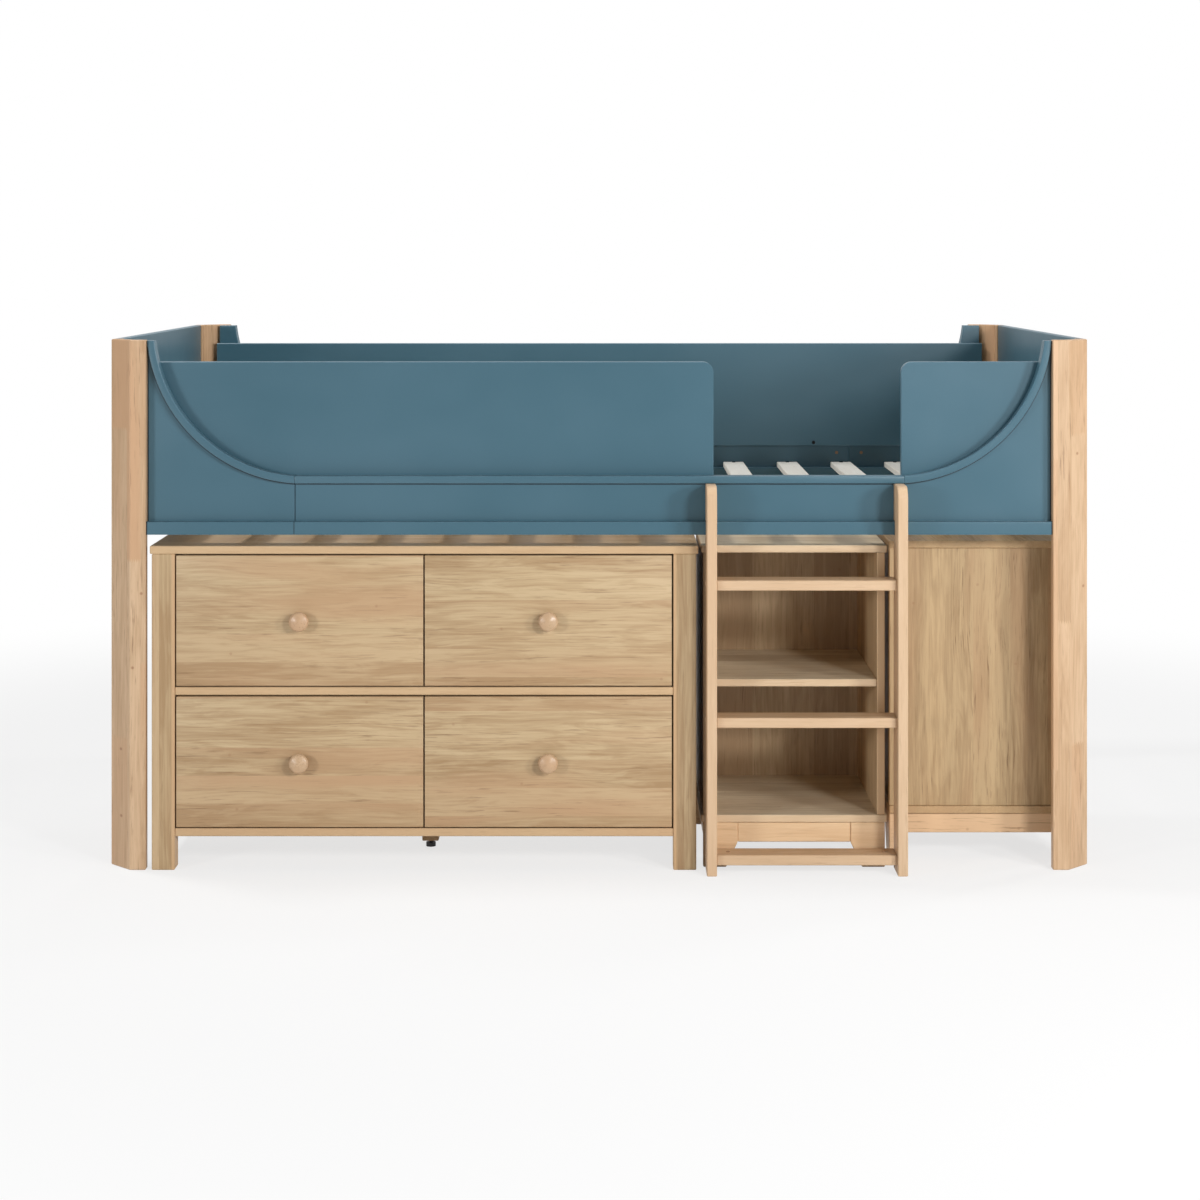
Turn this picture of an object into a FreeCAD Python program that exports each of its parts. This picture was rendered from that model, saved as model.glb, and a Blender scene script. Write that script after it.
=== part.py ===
import FreeCAD, Part
import math
import os
import re
import Sketcher

# A low loft bed with a drawer chest and two bookcases under it, in millimetres.
# +Z is up and the front faces -Y. The origin is on the floor, at the middle of the whole outline.

# Driving sizes
SIZES = {
    # Bed
    "bed_length": 1970,
    "bed_depth": 1090,
    "bed_height": 1060,
    "edge_easing": 1.5,
    "fit_gap": 0.3,
    # Corner posts, a wall bent round the corner in three flat faces
    "post_width": 78,
    "post_bevel": 46,
    "post_wall": 20,
    # Rails, with ends that sweep up to the posts
    "under_gap": 22,
    "rail_height": 117,
    "rail_thickness": 16,
    "rail_crest_drop": 2,
    "sweep_length": 296,
    "rail_curve_share": 0.1825,
    # Mouldings on the rails' faces
    "cap_height": 15,
    "cap_thickness": 12,
    "skirt_height": 26,
    "skirt_thickness": 16,
    "skirt_round": 9,
    # Guards
    "guard_thickness": 15,
    "guard_drop": 45,
    "guard_lap": 22,
    "guard_radius": 22,
    "guard_end_inset": 50,
    "entry_inset": 17,
    "entry_width": 378,
    "quarter_bow_share": 0.20711,
    # End panels
    "panel_thickness": 16,
    # Slats and their ledgers
    "slat_width": 50,
    "slat_thickness": 13,
    "slat_end_margin": 107.2,
    "slat_count": 14,
    "slat_end_gap": 1,
    "ledger_rise": 6.5,
    "ledger_height": 35,
    "ledger_depth": 22,
    # Ladder
    "ladder_reach": 50,
    "ladder_width": 398,
    "stile_thickness": 20,
    "stile_radius": 24,
    "notch_gap": 1,
    "rung_thickness": 20,
    "rung_recess": 12,
    "rung_first_top": 39,
    "rung_pitch": 272.5,
    "rung_count": 3,
    # Drawer chest
    "chest_gap": 8,
    "chest_depth": 390,
    "chest_height": 648,
    "chest_board": 16,
    "chest_overhang": 4,
    "chest_floor_bottom": 67,
    "leg_width": 46,
    "leg_depth": 40,
    "side_inset": 6,
    "side_thickness": 16,
    "shelf_setback": 2,
    "chest_back_inset": 6,
    "chest_back_thickness": 6,
    "foot_block_width": 34,
    "foot_block_bottom": 14,
    "leveller_diameter": 20,
    "leveller_height": 8,
    "stem_diameter": 8,
    "stem_length": 30,
    "leveller_travel": 6,
    # Drawers
    "front_thickness": 18,
    "front_reveal": 3,
    "box_wall": 14,
    "box_height": 190,
    "box_depth": 340,
    "box_rise": 24,
    "box_gap": 4,
    "bottom_thickness": 5,
    "bottom_rise": 10,
    "bottom_tongue": 6,
    "runner_height": 16,
    "runner_depth": 12,
    "runner_clearance": 0.5,
    "runner_start_gap": 4,
    "runner_end_gap": 4,
    # Turned knobs
    "knob_radius": 19.5,
    "knob_length": 28,
    "knob_foot_radius": 11,
    "knob_neck_radius": 9.5,
    "knob_neck_height": 4,
    "knob_rim_height": 16,
    "knob_round": 8,
    # Bookcases
    "case_gap": 7,
    "case_setback": 22,
    "case_width": 373,
    "case_depth": 375,
    "case_height": 647,
    "case_board": 15,
    "case_side": 16,
    "case_overhang": 4,
    "case_lip": 2,
    "case_shelf_top": 377,
    "case_shelf_setback": 3,
    "case_floor_top": 105,
    "case_back_inset": 8,
    "case_back_thickness": 6,
    "apron_bottom": 50,
    "apron_thickness": 16,
    "apron_setback": 2,
    "foot_top_width": 69,
    "foot_floor_width": 46,
    "foot_thickness": 20,
    "end_case_gap": 14,
    "end_case_setback": 97,
    "end_case_inset": 18,
}

# Places and sizes that follow from the driving sizes
PLACES = {
    "half_length": "bed_length / 2",
    "front_y": "(ladder_reach - bed_depth) / 2",
    "mid_y": "front_y + bed_depth / 2",
    "post_facet": "post_bevel + post_wall * (sqrt(2) - 1)",
    "post_inner_x": "half_length - post_width",
    "post_back_y": "front_y + post_width",
    # Rails
    "seam_x": "post_inner_x - sweep_length",
    "centre_board_length": "2 * seam_x",
    "rail_bottom": "max(chest_height; case_height) + under_gap",
    "rail_top": "rail_bottom + rail_height",
    "rail_crest": "bed_height - rail_crest_drop",
    "rail_end_x": "half_length - post_facet - fit_gap",
    "rail_front_y": "front_y + post_wall",
    "rail_back_y": "rail_front_y + rail_thickness",
    # Mouldings
    "cap_bottom": "rail_top - cap_height",
    "cap_crest_x": "post_inner_x - fit_gap",
    "rail_crest_x": "cap_crest_x - cap_height",
    "cap_front_y": "rail_front_y - cap_thickness",
    "skirt_front_y": "rail_front_y - skirt_thickness",
    "skirt_top": "rail_bottom + skirt_height",
    "skirt_shoulder": "skirt_top - skirt_round",
    "skirt_end_length": "cap_crest_x - seam_x",
    # Guards, with the ladder in the gap between the front ones
    "ladder_right_x": "seam_x",
    "ladder_left_x": "ladder_right_x - ladder_width",
    "entry_left": "ladder_left_x + entry_inset",
    "guard_end_x": "half_length - guard_end_inset",
    "guard_top": "bed_height - guard_drop",
    "guard_bottom": "rail_top - guard_lap",
    "guard_shoulder": "guard_top - guard_radius",
    "guard_left_length": "guard_end_x + entry_left",
    "guard_left_bend": "guard_left_length - guard_radius",
    "entry_right": "entry_left + entry_width",
    "guard_right_length": "guard_end_x - entry_right",
    # Slats
    "ledger_bottom": "rail_bottom + ledger_rise",
    "ledger_top": "ledger_bottom + ledger_height",
    "slat_top": "ledger_top + slat_thickness",
    "ledger_pitch": "bed_depth - 2 * (post_wall + rail_thickness) - ledger_depth",
    "slat_front_y": "rail_back_y + slat_end_gap",
    "slat_back_y": "2 * mid_y - slat_front_y",
    "slat_pitch": "(bed_length - 2 * slat_end_margin - slat_width) / (slat_count - 1)",
    "slat_first_x": "-(slat_count - 1) * slat_pitch / 2 - slat_width / 2",
    # Ladder
    "ladder_front_y": "front_y - ladder_reach",
    "stile_depth": "ladder_reach + post_wall",
    "stile_top": "cap_bottom - fit_gap",
    "stile_shoulder": "stile_top - stile_radius",
    "notch_depth": "stile_depth - skirt_thickness - notch_gap",
    "notch_bottom": "rail_bottom - notch_gap",
    "notch_top": "skirt_top + notch_gap",
    # Chest
    "chest_left_x": "chest_gap - post_inner_x",
    "end_case_left_x": "half_length - end_case_inset - case_depth",
    "chest_width": "end_case_left_x - end_case_gap - case_width - case_gap - chest_left_x",
    "chest_right_x": "chest_left_x + chest_width",
    "chest_mid_x": "chest_left_x + chest_width / 2",
    "chest_back_y": "front_y + chest_depth",
    "chest_mid_y": "front_y + chest_depth / 2",
    "leg_outer_x": "chest_left_x + chest_overhang",
    "leg_pitch_x": "chest_width - 2 * chest_overhang - leg_width",
    "opening_left_x": "leg_outer_x + leg_width",
    "opening_right_x": "opening_left_x + leg_pitch_x - leg_width",
    "chest_under_top": "chest_height - chest_board",
    "chest_floor_top": "chest_floor_bottom + chest_board",
    "row_height": "(chest_under_top - chest_floor_top - chest_board) / 2",
    "row_pitch": "row_height + chest_board",
    "mid_shelf_bottom": "chest_floor_top + row_height",
    "chest_back_front_y": "chest_back_y - chest_back_inset - chest_back_thickness",
    "bay_width": "(opening_right_x - opening_left_x - chest_board) / 2",
    "bay_pitch": "bay_width + chest_board",
    "behind_fronts_y": "front_y + front_thickness + runner_start_gap",
    "foot_block_left_x": "chest_mid_x - foot_block_width / 2",
    "foot_block_front_y": "chest_mid_y - foot_block_width / 2",
    "leveller_radius": "leveller_diameter / 2",
    "stem_radius": "stem_diameter / 2",
    "stem_top": "leveller_height + stem_length",
    "stem_bore_depth": "stem_top - foot_block_bottom + leveller_travel + fit_gap",
    # Drawers
    "front_width": "(opening_right_x - opening_left_x - 3 * front_reveal) / 2",
    "front_height": "row_height - 2 * front_reveal",
    "front_pitch": "front_width + front_reveal",
    "box_front_y": "front_y + front_thickness",
    "box_width": "bay_width - 2 * box_gap",
    "runner_bite": "runner_depth - box_gap",
    "runner_bottom": "chest_floor_top + front_reveal + box_rise + (box_height - runner_height) / 2",
    "groove_depth": "runner_bite + runner_clearance",
    "groove_bottom": "(box_height - runner_height) / 2 - runner_clearance",
    "groove_top": "(box_height + runner_height) / 2 + runner_clearance",
    "knob_crown_radius": "knob_radius - knob_round",
    "knob_crown_height": "knob_rim_height + knob_round",
    "bottom_slot": "box_wall - bottom_tongue",
    "bottom_slot_top": "bottom_rise + bottom_thickness + fit_gap",
    # Bookcases
    "case_left_x": "chest_right_x + case_gap",
    "case_mid_x": "case_left_x + case_width / 2",
    "case_front_y": "front_y + case_setback",
    "case_back_y": "case_front_y + case_depth",
    "case_mid_y": "case_front_y + case_depth / 2",
    "case_side_x": "case_left_x + case_overhang",
    "case_side_pitch": "case_width - 2 * case_overhang - case_side",
    "case_inner_left_x": "case_side_x + case_side",
    "case_inner_right_x": "case_side_x + case_side_pitch",
    "case_side_front_y": "case_front_y + case_lip",
    "case_under_top": "case_height - case_board",
    "case_floor_bottom": "case_floor_top - case_board",
    "case_back_front_y": "case_back_y - case_back_inset - case_back_thickness",
    "foot_pitch_y": "case_back_y - case_side_front_y - foot_thickness",
    "end_case_mid_x": "end_case_left_x + case_depth / 2",
    "end_case_mid_y": "front_y + end_case_setback + case_width / 2",
}

doc = FreeCAD.newDocument("LowLoftBed")
sheet = doc.addObject("Spreadsheet::Sheet", "Sizes")
nodes = []


def fill_sheet():
    """The driving sizes as plain numbers, then the places as formulas, one named cell each."""
    texts = {name: str(number) for name, number in SIZES.items()}
    texts.update({name: "=" + formula for name, formula in PLACES.items()})
    for row, (name, text) in enumerate(texts.items(), start=1):
        sheet.set(f"A{row}", name)
        sheet.setAlias(f"B{row}", name)
        sheet.set(f"B{row}", text)
    doc.recompute()


def measure(name):
    """The present value of a named cell, or zero."""
    return 0.0 if name == "0" else float(sheet.get(name))


def bind(owner, where, formula):
    """Tie a property to a formula whose words are names in the sheet."""
    owner.setExpression(where, re.sub(r"\b[a-z]\w*\b(?!\()", lambda word: "Sizes." + word.group(), formula))


def keep(piece):
    """Count a finished piece as one of the bed's nodes."""
    nodes.append(piece)
    return piece


def new_body(label, x, y, z):
    """An empty body with its own origin at a place given by formulas."""
    body = doc.addObject("PartDesign::Body", label)
    body.Label = label
    body.AllowCompound = True
    for axis, formula in zip("xyz", (x, y, z)):
        bind(body, "Placement.Base." + axis, formula)
    return body


def origin_feature(body, role):
    """One of the body's own base planes or axes."""
    return next(feature for feature in body.Origin.OriginFeatures if feature.Role == role)


def ease_edges(body, base):
    """Break every edge of the piece by a small flat."""
    doc.recompute()
    easing = body.newObject("PartDesign::Chamfer", body.Name + "_easing")
    easing.Base = (base, ["Edge1"])
    easing.UseAllEdges = True
    bind(easing, "Size", "edge_easing")
    body.Tip = easing
    return easing


def repeat(body, features, axis, pitch, count):
    """Copies of the piece in a row."""
    row = body.newObject("PartDesign::LinearPattern", body.Name + "_row")
    row.Originals = features
    row.Direction = (origin_feature(body, axis), [""])
    row.Mode = "Spacing"
    bind(row, "Offset", pitch)
    bind(row, "Occurrences", count)
    body.Tip = row


def board(label, across, deep, tall, row=(), eased=True):
    """A flat board between two faces in each direction, with eased or sawn edges, in a row if wanted."""
    body = new_body(label, across[0], deep[0], tall[0])
    block = body.newObject("PartDesign::AdditiveBox", label + "_block")
    for side, (low, high) in zip(("Length", "Width", "Height"), (across, deep, tall)):
        bind(block, side, f"({high}) - ({low})")
    features = [block, ease_edges(body, block)] if eased else [block]
    if row:
        repeat(body, features, *row)
    return body


def bow_of(share, start, end):
    """A named bow share, or for a crown that of the arc which crosses the upright axis squarely."""
    if share != "crown":
        return measure(share)
    rise = end.y - start.y
    return (math.hypot(start.x, rise) - start.x) / (2 * rise)


def arc_between(start, end, bow, side):
    """The arc from start to end that bows by a share of its chord, to the left (1) or the right (-1)."""
    chord = end - start
    across = FreeCAD.Vector(-chord.y, chord.x, 0) * (bow * side)
    middle = (start + end) * 0.5 + across
    return Part.ArcOfCircle(start, middle, end) if side < 0 else Part.ArcOfCircle(end, middle, start)


def outline(body, plane, corners, arcs=None):
    """A closed sketch through corners named in the sheet. arcs maps a corner's number to the bow share and
    side of the arc that leaves it; a crown's arc is centred on the upright axis instead."""
    arcs = arcs or {}
    sketch = body.newObject("Sketcher::SketchObject", body.Name + "_outline")
    sketch.AttachmentSupport = (origin_feature(body, plane), [""])
    sketch.MapMode = "FlatFace"
    points = [FreeCAD.Vector(measure(u), measure(v), 0) for u, v in corners]
    ends = []
    for number, start in enumerate(points):
        end = points[(number + 1) % len(points)]
        share, side = arcs.get(number, (None, 0))
        if side:
            sketch.addGeometry(arc_between(start, end, bow_of(share, start, end), side))
        else:
            sketch.addGeometry(Part.LineSegment(start, end))
        ends.append((2, 1) if side > 0 else (1, 2))
    for number, (u, v) in enumerate(corners):
        first = ends[number][0]
        sketch.addConstraint(Sketcher.Constraint("Coincident", number - 1 if number else len(corners) - 1,
                                                 ends[number - 1][1], number, first))
        for kind, axis_line, name in (("DistanceX", -2, u), ("DistanceY", -1, v)):
            if name == "0":
                sketch.addConstraint(Sketcher.Constraint("PointOnObject", number, first, axis_line))
            else:
                index = sketch.addConstraint(
                    Sketcher.Constraint(kind, -1, 1, number, first, measure(name)))
                bind(sketch, f"Constraints[{index}]", name)
    for number, (share, side) in arcs.items():
        if share == "crown":
            sketch.addConstraint(Sketcher.Constraint("PointOnObject", number, 3, -2))
            continue
        (u1, v1), (u2, v2) = corners[number], corners[(number + 1) % len(corners)]
        chord = f"sqrt(({u2} - {u1})^2 + ({v2} - {v1})^2)"
        index = sketch.addConstraint(
            Sketcher.Constraint("Radius", number, sketch.Geometry[number].Radius))
        bind(sketch, f"Constraints[{index}]", f"{chord} * (1 / (8 * {share}) + {share} / 2)")
    return sketch


def profile(label, place, plane, corners, length, arcs=None, row=(), eased=True):
    """A piece cut to an outline, which is padded along +Z, +Y or +X, with eased or sawn edges."""
    body = new_body(label, *place)
    sketch = outline(body, plane, corners, arcs)
    pad = body.newObject("PartDesign::Pad", label + "_pad")
    pad.Profile = sketch
    pad.Reversed = plane == "XZ_Plane"
    bind(pad, "Length", length)
    features = [pad, ease_edges(body, pad)] if eased else [pad]
    if row:
        repeat(body, features, *row)
    return body


def turned(label, place, plane, corners, arcs=None):
    """A piece turned on a lathe about its sketch's upright axis."""
    body = new_body(label, *place)
    sketch = outline(body, plane, corners, arcs)
    lathe = body.newObject("PartDesign::Revolution", label + "_lathe")
    lathe.Profile = sketch
    lathe.ReferenceAxis = (sketch, ["V_Axis"])
    return body


def mirrored(label, piece, axis, at="0"):
    """The piece's mirror image in a plane across one axis."""
    image = doc.addObject("Part::Mirroring", label)
    image.Label = label
    image.Source = piece
    image.Normal = FreeCAD.Vector(axis == "x", axis == "y", 0)
    if at != "0":
        bind(image, "Base." + axis, at)
    return image


def group(label, pieces):
    """Several separate pieces in one node."""
    bundle = doc.addObject("Part::Compound", label)
    bundle.Label = label
    bundle.Links = pieces
    return bundle


def make_posts():
    corners = [("post_bevel", "0"), ("post_width", "0"), ("post_width", "post_wall"),
               ("post_facet", "post_wall"), ("post_wall", "post_facet"), ("post_wall", "post_width"),
               ("0", "post_width"), ("0", "post_bevel")]
    left = keep(profile("post_front_left", ("-half_length", "front_y", "0"), "XY_Plane", corners,
                        "bed_height"))
    right = keep(mirrored("post_front_right", left, "x"))
    keep(mirrored("post_rear_left", left, "y", "mid_y"))
    keep(mirrored("post_rear_right", right, "y", "mid_y"))


def make_rails():
    centre = keep(board("front_rail_centre", ("-seam_x", "seam_x"), ("rail_front_y", "rail_back_y"),
                        ("rail_bottom", "rail_top")))
    corners = [("seam_x", "rail_bottom"), ("rail_end_x", "rail_bottom"), ("rail_end_x", "rail_crest"),
               ("rail_crest_x", "rail_crest"), ("seam_x", "rail_top")]
    right = keep(profile("front_rail_right_end", ("0", "rail_front_y", "0"), "XZ_Plane", corners,
                         "rail_thickness", {3: ("rail_curve_share", 1)}))
    left = keep(mirrored("front_rail_left_end", right, "x"))
    keep(mirrored("rear_rail_boards", group("front_rail_boards", [left, centre, right]), "y", "mid_y"))


def make_caps():
    centre = board("cap_centre", ("-seam_x", "seam_x"), ("cap_front_y", "rail_front_y"),
                   ("cap_bottom", "rail_top"))
    corners = [("seam_x", "cap_bottom"), ("cap_crest_x", "rail_crest"), ("rail_crest_x", "rail_crest"),
               ("seam_x", "rail_top")]
    right = profile("cap_right_end", ("0", "cap_front_y", "0"), "XZ_Plane", corners, "cap_thickness",
                    {0: ("rail_curve_share", -1), 2: ("rail_curve_share", 1)})
    left = mirrored("cap_left_end", right, "x")
    front = keep(group("front_caps", [left, centre, right]))
    keep(mirrored("rear_caps", front, "y", "mid_y"))


def make_skirts():
    corners = [("0", "rail_bottom"), ("skirt_thickness", "rail_bottom"), ("skirt_thickness", "skirt_top"),
               ("skirt_round", "skirt_top"), ("0", "skirt_shoulder")]
    rounded = {3: ("quarter_bow_share", -1)}
    centre = profile("skirt_centre", ("-seam_x", "skirt_front_y", "0"), "YZ_Plane", corners,
                     "centre_board_length", rounded)
    right = profile("skirt_right_end", ("seam_x", "skirt_front_y", "0"), "YZ_Plane", corners,
                    "skirt_end_length", rounded)
    left = mirrored("skirt_left_end", right, "x")
    front = keep(group("front_skirts", [left, centre, right]))
    keep(mirrored("rear_skirts", front, "y", "mid_y"))


def make_guards():
    left = [("0", "guard_bottom"), ("guard_left_length", "guard_bottom"),
            ("guard_left_length", "guard_shoulder"), ("guard_left_bend", "guard_top"), ("0", "guard_top")]
    keep(profile("guard_front_left", ("-guard_end_x", "rail_back_y", "0"), "XZ_Plane", left,
                 "guard_thickness", {2: ("quarter_bow_share", -1)}))
    right = [("0", "guard_bottom"), ("guard_right_length", "guard_bottom"),
             ("guard_right_length", "guard_top"), ("guard_radius", "guard_top"), ("0", "guard_shoulder")]
    keep(profile("guard_front_right", ("entry_right", "rail_back_y", "0"), "XZ_Plane", right,
                 "guard_thickness", {3: ("quarter_bow_share", -1)}))
    keep(board("guard_rear", ("-guard_end_x", "guard_end_x"),
               ("2 * mid_y - rail_back_y - guard_thickness", "2 * mid_y - rail_back_y"),
               ("guard_bottom", "guard_top")))


def make_end_panels():
    left = keep(board("end_panel_left", ("-half_length", "panel_thickness - half_length"),
                      ("post_back_y", "2 * mid_y - post_back_y"), ("rail_bottom", "bed_height")))
    keep(mirrored("end_panel_right", left, "x"))


def make_slat_base():
    keep(board("slat_ledgers", ("-rail_end_x", "rail_end_x"), ("rail_back_y", "rail_back_y + ledger_depth"),
               ("ledger_bottom", "ledger_top"), ("Y_Axis", "ledger_pitch", "2"), eased=False))
    keep(board("slats", ("slat_first_x", "slat_first_x + slat_width"), ("slat_front_y", "slat_back_y"),
               ("ledger_top", "slat_top"), ("X_Axis", "slat_pitch", "slat_count")))


def make_ladder():
    corners = [("0", "0"), ("stile_depth", "0"), ("stile_depth", "notch_bottom"),
               ("notch_depth", "notch_bottom"), ("notch_depth", "notch_top"), ("stile_depth", "notch_top"),
               ("stile_depth", "stile_top"), ("stile_radius", "stile_top"), ("0", "stile_shoulder")]
    for label, x in (("ladder_stile_left", "ladder_left_x"),
                     ("ladder_stile_right", "ladder_right_x - stile_thickness")):
        keep(profile(label, (x, "ladder_front_y", "0"), "YZ_Plane", corners, "stile_thickness",
                     {7: ("quarter_bow_share", -1)}))
    keep(board("ladder_rungs", ("ladder_left_x + stile_thickness", "ladder_right_x - stile_thickness"),
               ("ladder_front_y + rung_recess", "rail_front_y"),
               ("rung_first_top - rung_thickness", "rung_first_top"),
               ("Z_Axis", "rung_pitch", "rung_count")))


def make_chest():
    opening = ("opening_left_x", "opening_right_x")
    shelf_deep = ("front_y + shelf_setback", "chest_back_front_y")
    keep(board("chest_top", ("chest_left_x", "chest_right_x"), ("front_y", "chest_back_y"),
               ("chest_under_top", "chest_height")))
    front_legs = board("chest_front_legs", ("leg_outer_x", "leg_outer_x + leg_width"),
                       ("front_y", "front_y + leg_depth"), ("0", "chest_under_top"),
                       ("X_Axis", "leg_pitch_x", "2"))
    rear_legs = mirrored("chest_rear_legs", front_legs, "y", "chest_mid_y")
    keep(group("chest_legs", [front_legs, rear_legs]))
    keep(board("chest_sides", ("leg_outer_x + side_inset", "leg_outer_x + side_inset + side_thickness"),
               ("front_y + leg_depth", "chest_back_y - leg_depth"), ("chest_floor_bottom", "chest_under_top"),
               ("X_Axis", "leg_pitch_x + leg_width - 2 * side_inset - side_thickness", "2")))
    keep(board("chest_back", opening, ("chest_back_front_y", "chest_back_y - chest_back_inset"),
               ("chest_floor_bottom", "chest_under_top"), eased=False))
    keep(board("chest_floor", opening, shelf_deep, ("chest_floor_bottom", "chest_floor_top")))
    keep(board("chest_mid_shelf", opening, shelf_deep,
               ("mid_shelf_bottom", "mid_shelf_bottom + chest_board")))
    keep(board("chest_dividers", ("chest_mid_x - chest_board / 2", "chest_mid_x + chest_board / 2"),
               ("behind_fronts_y", "chest_back_front_y"), ("chest_floor_top", "mid_shelf_bottom"),
               ("Z_Axis", "row_pitch", "2"), eased=False))


def make_runners():
    """Strips on the legs and dividers, one each side of every drawer."""
    deep = ("behind_fronts_y", "chest_back_front_y - runner_end_gap")
    tall = ("runner_bottom", "runner_bottom + runner_height")
    left_x = "opening_left_x"
    right_x = "opening_left_x + bay_width - runner_depth"
    places = (left_x, right_x, left_x + " + bay_pitch", right_x + " + bay_pitch")
    pairs = [board(f"runner_pair_{number}", (x, x + " + runner_depth"), deep, tall,
                   ("Z_Axis", "row_pitch", "2"), eased=False) for number, x in enumerate(places)]
    keep(group("chest_runners", pairs))


def make_centre_foot():
    """A block under the chest's floor, bored for a levelling foot."""
    block = board("chest_foot_block", ("foot_block_left_x", "foot_block_left_x + foot_block_width"),
                  ("foot_block_front_y", "foot_block_front_y + foot_block_width"),
                  ("foot_block_bottom", "chest_floor_bottom"))
    bore = block.newObject("PartDesign::SubtractiveCylinder", "foot_block_bore")
    bind(bore, "Radius", "stem_radius + fit_gap")
    bind(bore, "Height", "stem_bore_depth")
    bind(bore, "Placement.Base.x", "foot_block_width / 2")
    bind(bore, "Placement.Base.y", "foot_block_width / 2")
    block.Tip = bore
    keep(block)
    corners = [("0", "0"), ("leveller_radius", "0"), ("leveller_radius", "leveller_height"),
               ("stem_radius", "leveller_height"), ("stem_radius", "stem_top"), ("0", "stem_top")]
    keep(turned("chest_leveller", ("chest_mid_x", "chest_mid_y", "0"), "XZ_Plane", corners))


def make_drawer(name, column, row):
    """A front with its turned knob, and a box of grooved sides, back and bottom."""
    front_x = f"opening_left_x + front_reveal + {column} * front_pitch"
    front_z = f"chest_floor_top + front_reveal + {row} * row_pitch"
    panel = board(name + "_panel", (front_x, front_x + " + front_width"), ("front_y", "box_front_y"),
                  (front_z, front_z + " + front_height"))
    box_x = f"opening_left_x + box_gap + {column} * bay_pitch"
    box_z = front_z + " + box_rise"
    corners = [("0", "0"), ("box_wall", "0"), ("box_wall", "bottom_rise"), ("bottom_slot", "bottom_rise"),
               ("bottom_slot", "bottom_slot_top"), ("box_wall", "bottom_slot_top"),
               ("box_wall", "box_height"), ("0", "box_height"), ("0", "groove_top"),
               ("groove_depth", "groove_top"), ("groove_depth", "groove_bottom"), ("0", "groove_bottom")]
    left = profile(name + "_side_left", (box_x, "box_front_y", box_z), "XZ_Plane", corners, "box_depth",
                   eased=False)
    right = mirrored(name + "_side_right", left, "x", box_x + " + box_width / 2")
    back = board(name + "_back", (box_x + " + box_wall", box_x + " + box_width - box_wall"),
                 ("box_front_y + box_depth - box_wall", "box_front_y + box_depth"),
                 (box_z + " + bottom_slot_top", box_z + " + box_height"), eased=False)
    bottom = board(name + "_bottom",
                   (box_x + " + bottom_slot + fit_gap", box_x + " + box_width - bottom_slot - fit_gap"),
                   ("box_front_y", "box_front_y + box_depth"),
                   (box_z + " + bottom_rise", box_z + " + bottom_rise + bottom_thickness"),
                   eased=False)
    keep(group(name + "_box", [left, right, back, bottom]))
    knob_corners = [("0", "0"), ("knob_foot_radius", "0"), ("knob_neck_radius", "knob_neck_height"),
                    ("knob_radius", "knob_rim_height"), ("knob_crown_radius", "knob_crown_height"),
                    ("0", "knob_length")]
    knob_place = (front_x + " + front_width / 2", "front_y", front_z + " + front_height / 2")
    knob = turned(name + "_knob", knob_place, "XY_Plane", knob_corners,
                  {3: ("quarter_bow_share", -1), 4: ("crown", -1)})
    knob.Placement.Rotation = FreeCAD.Rotation(FreeCAD.Vector(0, 0, 1), 180)
    keep(group(name + "_front", [panel, knob]))


def make_drawers():
    for row, height in enumerate(("lower", "upper")):
        for column, hand in enumerate(("left", "right")):
            make_drawer(f"drawer_{height}_{hand}", column, row)


def make_case_base():
    """Tapered bracket feet at the front and rear, with aprons between them."""
    corners = [("0", "0"), ("foot_floor_width", "0"), ("foot_top_width", "apron_bottom"),
               ("foot_top_width", "case_floor_bottom"), ("0", "case_floor_bottom")]
    left = profile("case_feet_left", ("case_side_x", "case_side_front_y", "0"), "XZ_Plane", corners,
                   "foot_thickness", row=("Y_Axis", "foot_pitch_y", "2"))
    right = mirrored("case_feet_right", left, "x", "case_mid_x")
    tall = ("apron_bottom", "case_floor_bottom")
    apron_front = "case_side_front_y + apron_setback"
    apron_left = "case_side_x + apron_setback"
    long_aprons = board("case_long_aprons",
                        ("case_side_x + foot_top_width", "2 * case_mid_x - case_side_x - foot_top_width"),
                        (apron_front, apron_front + " + apron_thickness"), tall,
                        ("Y_Axis", "case_depth - case_lip - 2 * apron_setback - apron_thickness", "2"))
    side_aprons = board("case_side_aprons", (apron_left, apron_left + " + apron_thickness"),
                        ("case_side_front_y + foot_thickness", "case_back_y - foot_thickness"), tall,
                        ("X_Axis", "case_width - 2 * (case_overhang + apron_setback) - apron_thickness", "2"))
    return group("bookcase_base", [left, right, long_aprons, side_aprons])


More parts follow.
